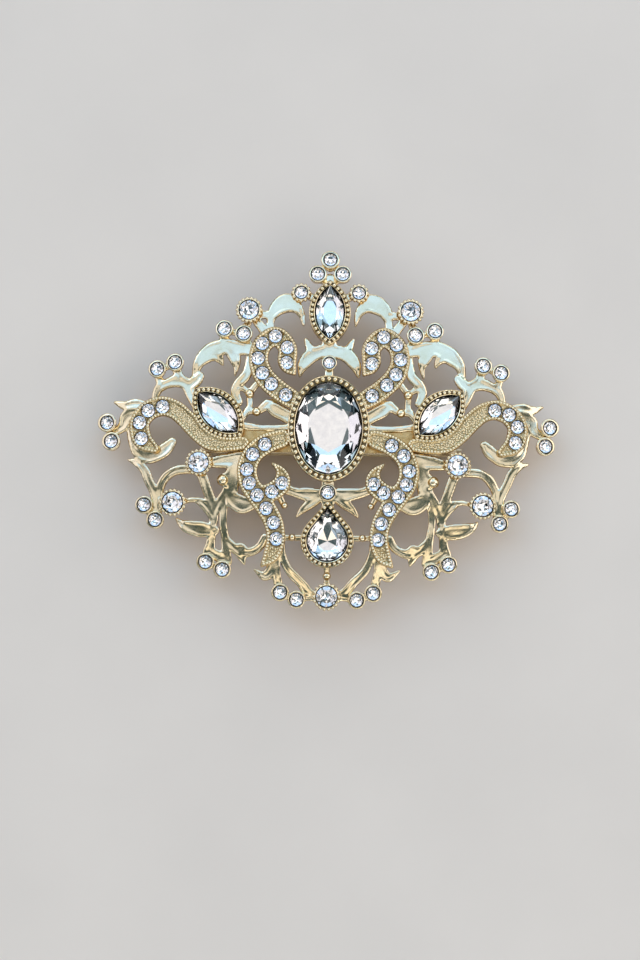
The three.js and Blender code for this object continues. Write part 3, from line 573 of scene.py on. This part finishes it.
# ---- materials ----
class Recipe:
    """A new material's Principled shader, with short ways to add the nodes behind it."""

    def __init__(self, name):
        self.material = bpy.data.materials.new(name)
        self.material.use_nodes = True
        self.tree = self.material.node_tree
        self.shader = self.tree.nodes["Principled BSDF"]
        self.place = self.node("ShaderNodeTexCoord").outputs["Object"]
        self.bumps = None

    def node(self, kind, **settings):
        made = self.tree.nodes.new(kind)
        for key, value in settings.items():
            setattr(made, key, value)
        return made

    def set(self, **values):
        for key, value in values.items():
            self.shader.inputs[key.replace("_", " ")].default_value = value

    def stretched(self, scale):
        """Object coordinates, scaled: a small scale draws a pattern out along its axis."""
        mapping = self.node("ShaderNodeMapping")
        mapping.inputs["Scale"].default_value = scale
        self.tree.links.new(self.place, mapping.inputs["Vector"])
        return mapping.outputs["Vector"]

    def noise(self, grain, detail=3.0, vector=None):
        """Noise whose blotches are about grain millimetres across."""
        made = self.node("ShaderNodeTexNoise")
        made.inputs["Scale"].default_value = 1 / (grain * MM)
        made.inputs["Detail"].default_value = detail
        self.tree.links.new(vector or self.place, made.inputs["Vector"])
        return made.outputs["Fac"]

    def cells(self, grain):
        """Rounded cells about grain millimetres across."""
        made = self.node("ShaderNodeTexVoronoi", feature="SMOOTH_F1")
        made.inputs["Scale"].default_value = 1 / (grain * MM)
        made.inputs["Smoothness"].default_value = 0.4
        self.tree.links.new(self.place, made.inputs["Vector"])
        return made.outputs["Distance"]

    def ramp(self, source, *stops):
        made = self.node("ShaderNodeValToRGB")
        made.color_ramp.elements[0].position = stops[0][0]
        made.color_ramp.elements[1].position = stops[-1][0]
        for position, _ in stops[1:-1]:
            made.color_ramp.elements.new(position)
        for element, (_, colour) in zip(made.color_ramp.elements, stops):
            element.color = (*colour, 1)
        self.tree.links.new(source, made.inputs["Fac"])
        return made.outputs["Color"]

    def colour(self, source, *stops):
        self.tree.links.new(self.ramp(source, *stops), self.shader.inputs["Base Color"])

    def roughness(self, source, low, high):
        made = self.node("ShaderNodeMapRange")
        made.inputs["From Min"].default_value = 0.3
        made.inputs["From Max"].default_value = 0.7
        made.inputs["To Min"].default_value = low
        made.inputs["To Max"].default_value = high
        self.tree.links.new(source, made.inputs["Value"])
        self.tree.links.new(made.outputs["Result"], self.shader.inputs["Roughness"])

    def bump(self, source, height):
        """Raises the surface by height millimetres, or sinks it, on top of any earlier bump."""
        made = self.node("ShaderNodeBump")
        made.inputs["Strength"].default_value = 1.0
        made.inputs["Distance"].default_value = height * MM
        self.tree.links.new(source, made.inputs["Height"])
        if self.bumps:
            self.tree.links.new(self.bumps, made.inputs["Normal"])
        self.bumps = made.outputs["Normal"]
        self.tree.links.new(self.bumps, self.shader.inputs["Normal"])


def polished_gold():
    """Pale bright plating with faint waves."""
    made = Recipe("polished_gold")
    made.set(Metallic=1.0)
    made.colour(made.noise(4.0), (0.3, (0.80, 0.66, 0.42)), (0.7, (0.90, 0.78, 0.56)))
    made.roughness(made.noise(1.2), 0.09, 0.2)
    made.bump(made.noise(2.2, 1.0), 0.022)
    made.bump(made.noise(0.25, 3.0), 0.004)
    return made.material


def side_gold_painted_shade():
    """The casting's sides, rougher than the tops, with a darker, deeper amber colour that is painted shade
    and painted gold-on-gold reflection.
    """
    made = Recipe("side_gold_painted_shade")
    made.set(Metallic=1.0)
    # painted shade and painted reflection: the sides' amber is darker than the tops' gold
    made.colour(made.noise(1.5), (0.3, (0.52, 0.33, 0.12)), (0.7, (0.74, 0.54, 0.26)))
    made.roughness(made.noise(0.7), 0.2, 0.38)
    made.bump(made.noise(0.4, 4.0), 0.03)
    return made.material


def grained_gold():
    """The sunk ground of scrolls and bezels: olive gold, with painted shade darkening it between its grains.
    """
    made = Recipe("grained_gold")
    made.set(Metallic=1.0)
    cells = made.cells(0.35)
    # painted shade: darker towards each grain's edge, where the bump sinks
    made.colour(cells, (0.15, (0.80, 0.68, 0.44)), (0.5, (0.50, 0.39, 0.21)))
    made.roughness(made.noise(0.5), 0.22, 0.4)
    made.bump(cells, -0.05)
    made.bump(made.noise(0.3, 3.0), 0.02)
    return made.material


def painted_shade_metal():
    """Painted shade: a dark brown metal colour laid into seats and under beads, where shade falls."""
    made = Recipe("painted_shade_metal")
    made.set(Metallic=0.8)
    made.colour(made.noise(0.5), (0.3, (0.13, 0.10, 0.06)), (0.7, (0.30, 0.22, 0.12)))
    made.roughness(made.noise(0.3), 0.4, 0.6)
    made.bump(made.noise(0.2), 0.02)
    return made.material


def crystal_glass():
    """Clear, faintly warm glass."""
    made = Recipe("crystal_glass")
    made.set(Metallic=0.0, Roughness=0.0, IOR=1.56, Transmission_Weight=1.0)
    made.colour(made.noise(1.5), (0.3, (0.98, 0.965, 0.945)), (0.7, (1.0, 0.985, 0.965)))
    return made.material


def foil():
    """The silvered back of each stone, seen through its glass."""
    made = Recipe("stone_foil")
    made.set(Metallic=1.0, Roughness=0.03)
    made.colour(made.noise(1.0), (0.3, (0.86, 0.84, 0.85)), (0.7, (0.98, 0.955, 0.94)))
    return made.material


def clip_metal():
    """The barrette's plated steel, brushed along its length."""
    made = Recipe("clip_metal")
    made.set(Metallic=1.0)
    brushed = made.stretched((0.04, 1.0, 1.0))
    made.colour(made.noise(3.0), (0.3, (0.74, 0.62, 0.42)), (0.7, (0.86, 0.76, 0.56)))
    made.roughness(made.noise(0.2, 3.0, brushed), 0.2, 0.34)
    made.bump(made.noise(0.12, 3.0, brushed), 0.012)
    made.bump(made.noise(2.5), 0.02)
    return made.material


GOLD = polished_gold()
SIDE_GOLD_PAINTED_SHADE = side_gold_painted_shade()
GRAIN = grained_gold()
PAINTED_SHADE = painted_shade_metal()
GLASS = crystal_glass()
FOIL = foil()
CLIP = clip_metal()


# ---- the casting ----
CASTING_STEP = 0.27
NARROW_HALF = 0.45
WIDE_HALF = 1.0
LINK_HEIGHT = 1.4
EDGE_WIDTH = 0.25
EDGE_DROP = 0.14
LEAF_DISH = 0.08
STRAND_CROWN = 0.03
WAVE_LENGTH = 8.0
WAVE_HEIGHT = 0.12
DISH_SLOPE = (0.15, 0.8)  # where a dish or crown begins and ends, in from the edge
EDGE_WOBBLE = 0.03  # unevenness of the outline
CUP_HOLE_INSET = 0.35
BEZEL_HOLE_INSET = 0.5
BALL_DROP = 0.3


def smooth_share(values, low, high):
    """0 below low, 1 above high, and a smooth rise between them."""
    share = np.clip((values - low) / (high - low), 0, 1)
    return share * share * (3 - 2 * share)


def leaf_height(field):
    """Tops are flat with a rounded edge; wide leaves are a little dished, and narrow strands lie lower."""
    depth = -field.distance
    wide = smooth_share(field.half, NARROW_HALF, WIDE_HALF)
    top = LINK_HEIGHT + (LEAF_HEIGHT - LINK_HEIGHT) * wide
    edge = 1 - smooth_share(depth, 0.0, EDGE_WIDTH)
    middle = smooth_share(depth, *DISH_SLOPE)
    rhythm = 2 * math.pi / WAVE_LENGTH
    wave = np.sin(rhythm * (0.8 * field.u + 0.6 * field.v)) + np.sin(rhythm * (0.9 * field.v - 0.5 * field.u))
    swell = WAVE_HEIGHT * (wave - 2) / 2
    return top + swell - EDGE_DROP * edge * edge - (LEAF_DISH * wide + STRAND_CROWN * (1 - wide)) * middle


def casting():
    field = Field((-48, -38), (48, 38), CASTING_STEP)
    for line in MIDDLE_STRANDS:
        field.add_strand(line)
    for line in PAIRED_STRANDS:
        field.add_strand(line)
        field.add_strand(mirrored(line))
    for line in (UPPER_SCROLL, LOWER_SCROLL, LOWER_HOOK, SIDE_SCROLL):
        field.add_strand(line, -RAIL_INSET / 2)
        field.add_strand(mirrored(line), -RAIL_INSET / 2)
    field.add_outline(oval(OVAL["bezel"], -RAIL_INSET / 2), half=2.0)
    for _, u, v, radius, _, _ in CUPS:
        for at in both_sides(u):
            field.cut_outline(moved(circle(radius, -CUP_HOLE_INSET), (at, v)))
    for sizes, outline_of in ((TOP_MARQUISE, marquise), (PEAR, pear)):
        field.cut_outline(moved(outline_of(sizes["bezel"], -BEZEL_HOLE_INSET), sizes["at"]))
    wobble = np.sin(1.3 * field.u + 0.7 * field.v) + np.sin(0.9 * field.v - 1.9 * field.u)
    field.distance += EDGE_WOBBLE * wobble
    body = Body()
    relief(body, field, leaf_height(field), 0.0, 1)
    for u, v, radius in PAIRED_BALLS + MIDDLE_BALLS:
        for at in both_sides(u):
            bead(body, at, v, radius, LEAF_HEIGHT - BALL_DROP, rings=8, count=18)
    made = body.piece("filigree_casting", [GOLD, SIDE_GOLD_PAINTED_SHADE])
    mounted(made, "ornament", "polished_gold", "filigree_plate")


PAD_STEP = 0.2


def clip_pad():
    """The casting's pad, with a boss for each rivet."""
    field = Field((-28, -6), (28, 3), PAD_STEP)
    field.add_strand(CLIP_PAD)
    body = Body()
    relief(body, field, np.full(field.u.shape, PAD_TOP), 0.0, 0)
    for u in (-RIVET_U, RIVET_U):
        profile = [(-0.1, BOSS_LOW), (0.0, BOSS_LOW + 0.1), (0.0, 0.1), (0.2, 0.3)]
        walled(body, circle, BOSS_RADIUS, (u, CLIP_LINE_V), 0, profile, [0, 0, 0])
    made = body.piece("clip_pad", [SIDE_GOLD_PAINTED_SHADE])
    mounted(made, "ornament", "polished_gold")


# ---- cups ----
CUP_BOTTOM = 0.0
# bands from the foot up: side gold with painted shade, polished gold over the lip, painted shade down in the
# seat
CUP_SLOTS = [1, 1, 0, 0, 0, 0, 0, 0, 2, 2]
LARGE_BEADS = 18
CROWN_BEADS = 12
BEADED_TUBE_INSET = 0.35
BEAD_LINE_INSET = 0.34
CUP_BEADS = ((0.39, 0.38), (0.35, 1.0))  # radius, and how far below the cup's height, of each row


def cup_profile(radius, stone, height):
    """(extra, height) rings of a tube: up its outside, over its lip and down to the floor of its seat."""
    seat = stone + STONE_GAP - radius
    return [
        (-0.3, CUP_BOTTOM), (-0.12, 0.2), (-0.1, height * 0.5), (-0.02, height - 0.45), (0.0, height - 0.2),
        (-0.08, height - 0.05), (-0.2, height), (seat + 0.08, height), (seat, height - 0.1),
        (seat, height - 0.8), (seat - 0.25, height - 1.6),
    ]


def cup_beads(body, at, radius, height, count):
    """Two rows of beads round a cup, the lower one on its wall."""
    (upper, upper_drop), (lower, lower_drop) = CUP_BEADS
    for u, v in moved(circle(radius - BEAD_LINE_INSET, 0, count), at):
        bead(body, u, v, upper, height - upper_drop, rings=5, count=10)
        # the lower row takes the side gold, with its painted shade
        bead(body, u, v, lower, height - lower_drop, 1)


def cups():
    body = Body()
    for name, u, v, radius, stone, height in CUPS:
        beads = LARGE_BEADS if height == LARGE_CUP else CROWN_BEADS if name == "crown" else 0
        tube = radius - (BEADED_TUBE_INSET if beads else 0)
        for at in both_sides(u):
            walled(body, circle, tube, (at, v), 0, cup_profile(tube, stone, height), CUP_SLOTS)
            if beads:
                cup_beads(body, (at, v), radius, height, beads)
    made = body.piece("stone_cups", [GOLD, SIDE_GOLD_PAINTED_SHADE, PAINTED_SHADE])
    mounted(made, "ornament", "polished_gold")


# ---- scrolls ----
SCROLL_STEP = 0.2
GROUND = 2.55
SCROLL_RIM = 2.9
RIM_SLOPE = (0.45, 0.75)  # where the rim's slope begins and ends, in from the edge
RIM_ROUNDING = 0.2
PIT = 1.8
COLLAR = 0.3
MILGRAIN = 0.31
MILGRAIN_SPACING = 0.64
MILGRAIN_INSET = 0.3
GRAIN_SPACING = 0.5
GRAIN_SEED = 3
GRAIN_JITTER = 0.15
GRAIN_RADII = (0.17, 0.27)
GRAIN_INSET = 0.8
BEZEL_TUCK = 0.15  # how far the scrolls run under the centre bezel
MARQUISE_TUCK = 0.3
SCROLL_GAP = 0.1


def scroll_height(field, stones):
    """A raised rim, a level ground and a pit for each stone."""
    rim = 1 - smooth_share(-field.distance, *RIM_SLOPE)
    height = GROUND + (SCROLL_RIM - GROUND) * rim
    height -= RIM_ROUNDING * (1 - smooth_share(-field.distance, 0.0, RIM_ROUNDING))
    for u, v in stones:
        height = np.where(np.hypot(field.u - u, field.v - v) < PAVE_RADIUS + STONE_GAP, PIT, height)
    return height


def milgrain(body, field):
    """A row of small beads along the rim."""
    for loop in field.loops(MILGRAIN_INSET):
        for u, v in spaced(loop, MILGRAIN_SPACING):
            bead(body, u, v, MILGRAIN, SCROLL_RIM, 3, rings=3)


def grains(body, field, stones):
    """Small balls scattered over the ground between the stones."""
    dice = random.Random(GRAIN_SEED)
    depth = -field.distance
    stride = round(GRAIN_SPACING / field.step)
    for row in range(0, depth.shape[0], stride):
        for column in range(0, depth.shape[1], stride):
            u = field.u[row, column] + dice.uniform(-GRAIN_JITTER, GRAIN_JITTER)
            v = field.v[row, column] + dice.uniform(-GRAIN_JITTER, GRAIN_JITTER)
            radius = dice.uniform(*GRAIN_RADII)
            clear = all(math.hypot(u - x, v - y) > PAVE_RADIUS + COLLAR + GRAIN_JITTER for x, y in stones)
            if depth[row, column] > GRAIN_INSET and clear:
                bead(body, u, v, radius, GROUND + 0.05, 3, rings=3, count=6)


def collars(body, stones):
    """A seat painted dark as shade and a thin bright lip for each pave stone."""
    radius = PAVE_RADIUS + COLLAR
    seat = STONE_GAP - COLLAR
    profile = [
        (0.05, PIT - 0.1), (0.05, GROUND), (-0.02, GROUND + 0.25), (-0.1, GROUND + 0.32),
        (seat + 0.03, GROUND + 0.3), (seat, GROUND + 0.2), (seat, PIT + 0.1),
    ]
    for at in stones:
        walled(body, circle, radius, at, 0, profile, [0, 0, 3, 3, 1, 1])


def scroll_piece(name, body, *nodes):
    """The right-hand piece and its mirror image."""
    for side, half in (("right", body), ("left", body.flipped())):
        made = half.piece(f"{name}_{side}", [GRAIN, PAINTED_SHADE, SIDE_GOLD_PAINTED_SHADE, GOLD])
        mounted(made, "ornament", "grained_gold", *(f"{node}_{side}" for node in nodes))


def pave(name, stones):
    body = Body()
    outline = circle(PAVE_RADIUS, 0, STONE_SIDES)
    for at in stones:
        brilliant(body, moved(outline, at), GROUND + 0.25, GROUND + 0.7, PIT + 0.05)
    cut_piece(f"{name}_right", body)
    cut_piece(f"{name}_left", body.flipped())


def scroll_field(lines, cut):
    """Strands of the right-hand side, cut back from a bezel."""
    field = Field((4, -28), (42, 22), SCROLL_STEP)
    for line in lines:
        field.add_strand(line)
    field.cut_outline(cut)
    return field


def scrolls():
    centre = oval(OVAL["bezel"], -BEZEL_TUCK)
    seat = marquise(SIDE_MARQUISE["bezel"], -MARQUISE_TUCK)
    upper = scroll_field([UPPER_SCROLL], centre)
    lower = scroll_field([LOWER_SCROLL, LOWER_HOOK], centre)
    side = scroll_field([SIDE_SCROLL], moved(seat, SIDE_MARQUISE["at"], SIDE_MARQUISE["turn"]))
    side.distance = np.maximum(side.distance, SCROLL_GAP - lower.distance)
    for name, field, stones in (
        ("pave_scroll_upper", upper, UPPER_PAVE),
        ("pave_scroll_lower", lower, LOWER_PAVE),
        ("side_scroll", side, SIDE_PAVE),
    ):
        body = Body()
        relief(body, field, scroll_height(field, stones), OVERLAY_FROM, 2)
        milgrain(body, field)
        grains(body, field, stones)
        collars(body, stones)
        scroll_piece(f"{name}_band", body, name)
        pave(f"{name}_stones", stones)


# ---- bezels ----
def bezel_profile(sizes):
    """(extra, height) rings: wall, thin rim, sunk ledge for beads, inner lip and a seat painted dark as
    shade.
    """
    low, top = sizes["low"], sizes["top"]
    seat = STONE_GAP - sizes["wall"]
    return [
        (-0.25, low), (0.0, low + 0.25), (0.0, top - 0.7), (-0.05, top - 0.5), (-0.14, top - 0.45),
        (-0.23, top - 0.5), (-0.28, top - 0.75), (seat + 0.28, top - 0.75), (seat + 0.22, top - 0.25),
        (seat + 0.12, top - 0.08), (seat + 0.03, top - 0.12), (seat, top - 0.3), (seat - 0.1, low + 0.4),
    ]


# the ledge floor under the beads and the seat take painted shade; the outer wall takes side gold with painted
# shade
BEZEL_SLOTS = [2, 2, 3, 3, 3, 0, 1, 0, 3, 3, 1, 1]
BEAD_DROP = 0.5


def bezel(body, outline_of, sizes):
    """A bezel's wall, and its beads along the middle of the ledge."""
    walled(body, outline_of, sizes["bezel"], sizes["at"], sizes["turn"], bezel_profile(sizes), BEZEL_SLOTS)
    ledge = outline_of(sizes["bezel"], -(sizes["wall"] - STONE_GAP) / 2)
    for u, v in spaced(moved(ledge, sizes["at"], sizes["turn"]), sizes["spacing"]):
        bead(body, u, v, sizes["bead"], sizes["top"] - BEAD_DROP, 3, rings=5, count=10)


def bezels():
    centre = Body()
    bezel(centre, oval, OVAL)
    made = centre.piece("center_bezel_beaded", [GRAIN, PAINTED_SHADE, SIDE_GOLD_PAINTED_SHADE, GOLD])
    mounted(made, "ornament", "grained_gold", "center_bezel")
    for name, outline_of, sizes in (
        ("marquise_bezel_top", marquise, TOP_MARQUISE),
        ("pear_bezel", pear, PEAR),
    ):
        body = Body()
        bezel(body, outline_of, sizes)
        made = body.piece(name, [GRAIN, PAINTED_SHADE, SIDE_GOLD_PAINTED_SHADE, GOLD])
        mounted(made, "ornament", "polished_gold")
    body = Body()
    bezel(body, marquise, SIDE_MARQUISE)
    scroll_piece("side_marquise_bezel", body)


# ---- stones ----
STONE_SIDES = 16
FACET_SHARP = 1  # degrees: every facet's edge stays sharp
TABLE_SHARE = 0.56
KITE_SHARE = 0.82
KITE_LIFT = 0.52
GIRDLE_THICK = 0.08
PLAIN_BACK = (0.5, 0.66)  # a pavilion's middle ring, as shares of the girdle's size and of the depth
FLAT_BACK = (0.6, 0.84)  # the centre stone's: a steep rim and a nearly flat back
FOIL_BELOW = -0.12  # faces that look further down than this are silvered
ROUND_CROWN = 0.45
ROUND_GIRDLE_DROP = 0.1
ROUND_PAVILION = 0.72  # depth as a share of the radius
ROUND_TURN = 0.3  # radians for each millimetre across


def brilliant(body, outline, girdle, table, culet, back=PLAIN_BACK):
    """A cut stone: a table, star and kite facets down to the girdle, and a pavilion down to its culet."""
    count = len(outline)
    u = sum(x for x, _ in outline) / count
    v = sum(y for _, y in outline) / count

    def ring(share, height, start=0, stride=2):
        return [(u + (x - u) * share, v + (y - v) * share, height) for x, y in outline[start::stride]]

    crown = table - girdle
    depth = girdle - culet
    points = ring(TABLE_SHARE, table)
    points += ring(KITE_SHARE, girdle + crown * KITE_LIFT, 1)
    points += ring(1.0, girdle, 0, 1)
    points += ring(0.99, girdle - GIRDLE_THICK, 0, 1)
    points += ring(back[0], girdle - GIRDLE_THICK - depth * back[1], 1)
    points.append((u, v, culet))
    shape = bmesh.new()
    for point in points:
        shape.verts.new(point)
    bmesh.ops.convex_hull(shape, input=shape.verts)
    bmesh.ops.delete(shape, geom=[vert for vert in shape.verts if not vert.link_faces], context="VERTS")
    bmesh.ops.dissolve_limit(shape, angle_limit=math.radians(0.5), verts=shape.verts, edges=shape.edges)
    shape.verts.index_update()
    faces = [[vert.index for vert in face.verts] for face in shape.faces]
    slots = [0 if face.normal.z > FOIL_BELOW else 1 for face in shape.faces]
    body.add([tuple(vert.co) for vert in shape.verts], faces, slots)
    shape.free()


def cut_piece(name, body, *nodes):
    made = body.piece(name, [GLASS, FOIL], FACET_SHARP)
    mounted(made, "ornament", "crystal", *nodes)


def large_stone(name, outline_of, sizes, mirror=False, back=PLAIN_BACK):
    body = Body()
    outline = moved(outline_of(sizes["stone"], 0, STONE_SIDES), sizes["at"], sizes["turn"])
    brilliant(body, outline, sizes["girdle"], sizes["table"], sizes["culet"], back)
    cut_piece(f"{name}_cut", body.flipped() if mirror else body, name)


def stones():
    large_stone("oval_stone", oval, OVAL, back=FLAT_BACK)
    large_stone("marquise_stone_top", marquise, TOP_MARQUISE)
    large_stone("marquise_stone_right", marquise, SIDE_MARQUISE)
    large_stone("marquise_stone_left", marquise, SIDE_MARQUISE, mirror=True)
    large_stone("pear_stone", pear, PEAR)
    for name, u, v, _, radius, height in CUPS:
        for at in both_sides(u):
            label = "" if u == 0 else "_left" if at < 0 else "_right"
            body = Body()
            outline = moved(circle(radius, 0, STONE_SIDES), (at, v), ROUND_TURN * at)
            girdle = height - ROUND_GIRDLE_DROP
            brilliant(body, outline, girdle, height + ROUND_CROWN, girdle - radius * ROUND_PAVILION)
            cut_piece(f"stone_{name}{label}_cut", body, f"stone_{name}{label}")


# ---- barrette ----
WELD = 0.001
ROUNDED_ABOVE = 40  # degrees between faces at an edge that is rounded


def softened(node, body_name, width):
    """A copy of a CAD node with its edges rounded, which stands for it."""
    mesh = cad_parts[node].data.copy()
    mesh.materials.clear()
    shape = bmesh.new()
    shape.from_mesh(mesh)
    bmesh.ops.remove_doubles(shape, verts=shape.verts, dist=WELD * MM)
    bmesh.ops.dissolve_limit(shape, angle_limit=math.radians(1), verts=shape.verts, edges=shape.edges)
    shape.to_mesh(mesh)
    shape.free()
    mesh.materials.append(CLIP)
    made = bpy.data.objects.new(f"{node}_finished", mesh)
    bpy.context.collection.objects.link(made)
    bevel = made.modifiers.new("rounded", "BEVEL")
    bevel.width = width * MM
    bevel.segments = 2
    bevel.limit_method = "ANGLE"
    bevel.angle_limit = math.radians(ROUNDED_ABOVE)
    made.data = bpy.data.meshes.new_from_object(made.evaluated_get(bpy.context.evaluated_depsgraph_get()))
    made.modifiers.clear()
    made.data.polygons.foreach_set("use_smooth", [True] * len(made.data.polygons))
    made.data.set_sharp_from_angle(angle=math.radians(ROUNDED_ABOVE))
    mounted(made, body_name, "clip_metal", node)


def barrette():
    softened("clasp_arm", "clasp", 0.12)
    softened("clip_base", "ornament", 0.1)
    softened("tension_bar", "tension_spring", 0.1)
    softened("catch_prong_front", "catch_front", 0.07)
    softened("catch_prong_rear", "catch_rear", 0.07)
    softened("hinge_pin", "ornament", 0.1)
    softened("clip_rivet_left", "ornament", 0.1)
    softened("clip_rivet_right", "ornament", 0.1)


# ---- set ----
# Panels, their distance and the floor are in metres.
PANEL_DISTANCE = 4.5
FLOOR_REACH = 15.0


def panel(name, tilt, turn, size, radiance, colour):
    """A soft panel over the clip: tilt from straight up, towards the turn from +Y, in degrees."""
    data = bpy.data.lights.new(name, "AREA")
    data.shape = "RECTANGLE"
    data.size, data.size_y = size
    data.energy = radiance * math.pi * size[0] * size[1]
    data.color = colour
    lamp = bpy.data.objects.new(name, data)
    lean = math.radians(tilt)
    heading = math.radians(turn)
    away = Vector((math.sin(lean) * math.sin(heading), math.sin(lean) * math.cos(heading), math.cos(lean)))
    lamp.location = away * PANEL_DISTANCE
    lamp.rotation_euler = away.to_track_quat("Z", "Y").to_euler()
    lamp.visible_camera = False
    bpy.context.collection.objects.link(lamp)


def backdrop():
    """A dim, cool room for reflections, which the camera itself sees as pale paper."""
    world = bpy.data.worlds.new("studio")
    world.use_nodes = True
    tree = world.node_tree
    room = tree.nodes["Background"]
    room.inputs["Color"].default_value = (0.58, 0.86, 0.90, 1)
    room.inputs["Strength"].default_value = 0.13
    paper = tree.nodes.new("ShaderNodeBackground")
    paper.inputs["Color"].default_value = (0.80, 0.79, 0.77, 1)
    rays = tree.nodes.new("ShaderNodeLightPath")
    both = tree.nodes.new("ShaderNodeMixShader")
    tree.links.new(rays.outputs["Is Camera Ray"], both.inputs["Fac"])
    tree.links.new(room.outputs["Background"], both.inputs[1])
    tree.links.new(paper.outputs["Background"], both.inputs[2])
    tree.links.new(both.outputs["Shader"], tree.nodes["World Output"].inputs["Surface"])
    bpy.context.scene.world = world


def lights():
    panel("white_panel", 4, 0, (5.0, 0.9), 0.88, (1.0, 0.97, 0.98))
    panel("sky_panel", 27, 0, (5.5, 2.5), 1.5, (0.44, 0.66, 1.0))
    panel("cream_strip", 19, 180, (5.0, 0.75), 1.3, (1.0, 0.90, 0.76))
    panel("side_left", 60, -75, (4.0, 4.5), 1.1, (0.93, 0.91, 1.0))
    panel("side_right", 62, 80, (3.5, 4.0), 1.7, (1.0, 0.96, 0.97))
    panel("back_panel", 70, 0, (5.5, 2.5), 1.6, (0.88, 0.94, 1.0))
    panel("front_fill", 56, 180, (4.5, 2.0), 1.5, (1.0, 0.94, 0.86))
    panel("back_left_corner", 50, -38, (2.4, 2.4), 0.9, (0.60, 0.86, 1.0))
    panel("back_right_corner", 50, 38, (2.4, 2.4), 0.7, (0.50, 0.80, 1.0))
    panel("front_left_corner", 58, -138, (2.6, 2.6), 0.5, (0.60, 0.78, 1.0))
    panel("front_right_corner", 58, 138, (2.6, 2.6), 1.6, (1.0, 0.98, 0.97))
    backdrop()


def floor():
    mesh = bpy.data.meshes.new("floor")
    corners = [(x * FLOOR_REACH, y * FLOOR_REACH, 0) for x, y in ((-1, -1), (1, -1), (1, 1), (-1, 1))]
    mesh.from_pydata(corners, [], [(0, 1, 2, 3)])
    made = Recipe("floor_paper")
    made.colour(made.noise(40.0), (0.3, (0.72, 0.635, 0.56)), (0.7, (0.76, 0.67, 0.59)))
    made.roughness(made.noise(30.0), 0.55, 0.65)
    mesh.materials.append(made.material)
    sheet = bpy.data.objects.new("floor", mesh)
    bpy.context.collection.objects.link(sheet)


ELEVATION = 85
CAMERA_DISTANCE = 422.8
CAMERA_AIM = (-1.57, -10.35, 12.0)
CAMERA_ROLL = 0.7
LENS = 80
SENSOR = 36


def camera():
    data = bpy.data.cameras.new("camera")
    data.sensor_fit = "VERTICAL"
    data.sensor_height = SENSOR
    data.lens = LENS
    data.clip_start = 0.01
    made = bpy.data.objects.new("camera", data)
    lean = math.radians(ELEVATION)
    away = Vector((0, -math.cos(lean), math.sin(lean)))
    made.location = (Vector(CAMERA_AIM) + away * CAMERA_DISTANCE) * MM
    aim = away.to_track_quat("Z", "Y").to_matrix() @ Matrix.Rotation(math.radians(CAMERA_ROLL), 3, "Z")
    made.rotation_euler = aim.to_euler()
    bpy.context.collection.objects.link(made)
    bpy.context.scene.camera = made
    bpy.context.scene.view_settings.view_transform = "Standard"


casting()
clip_pad()
cups()
scrolls()
bezels()
stones()
barrette()
lights()
floor()
camera()
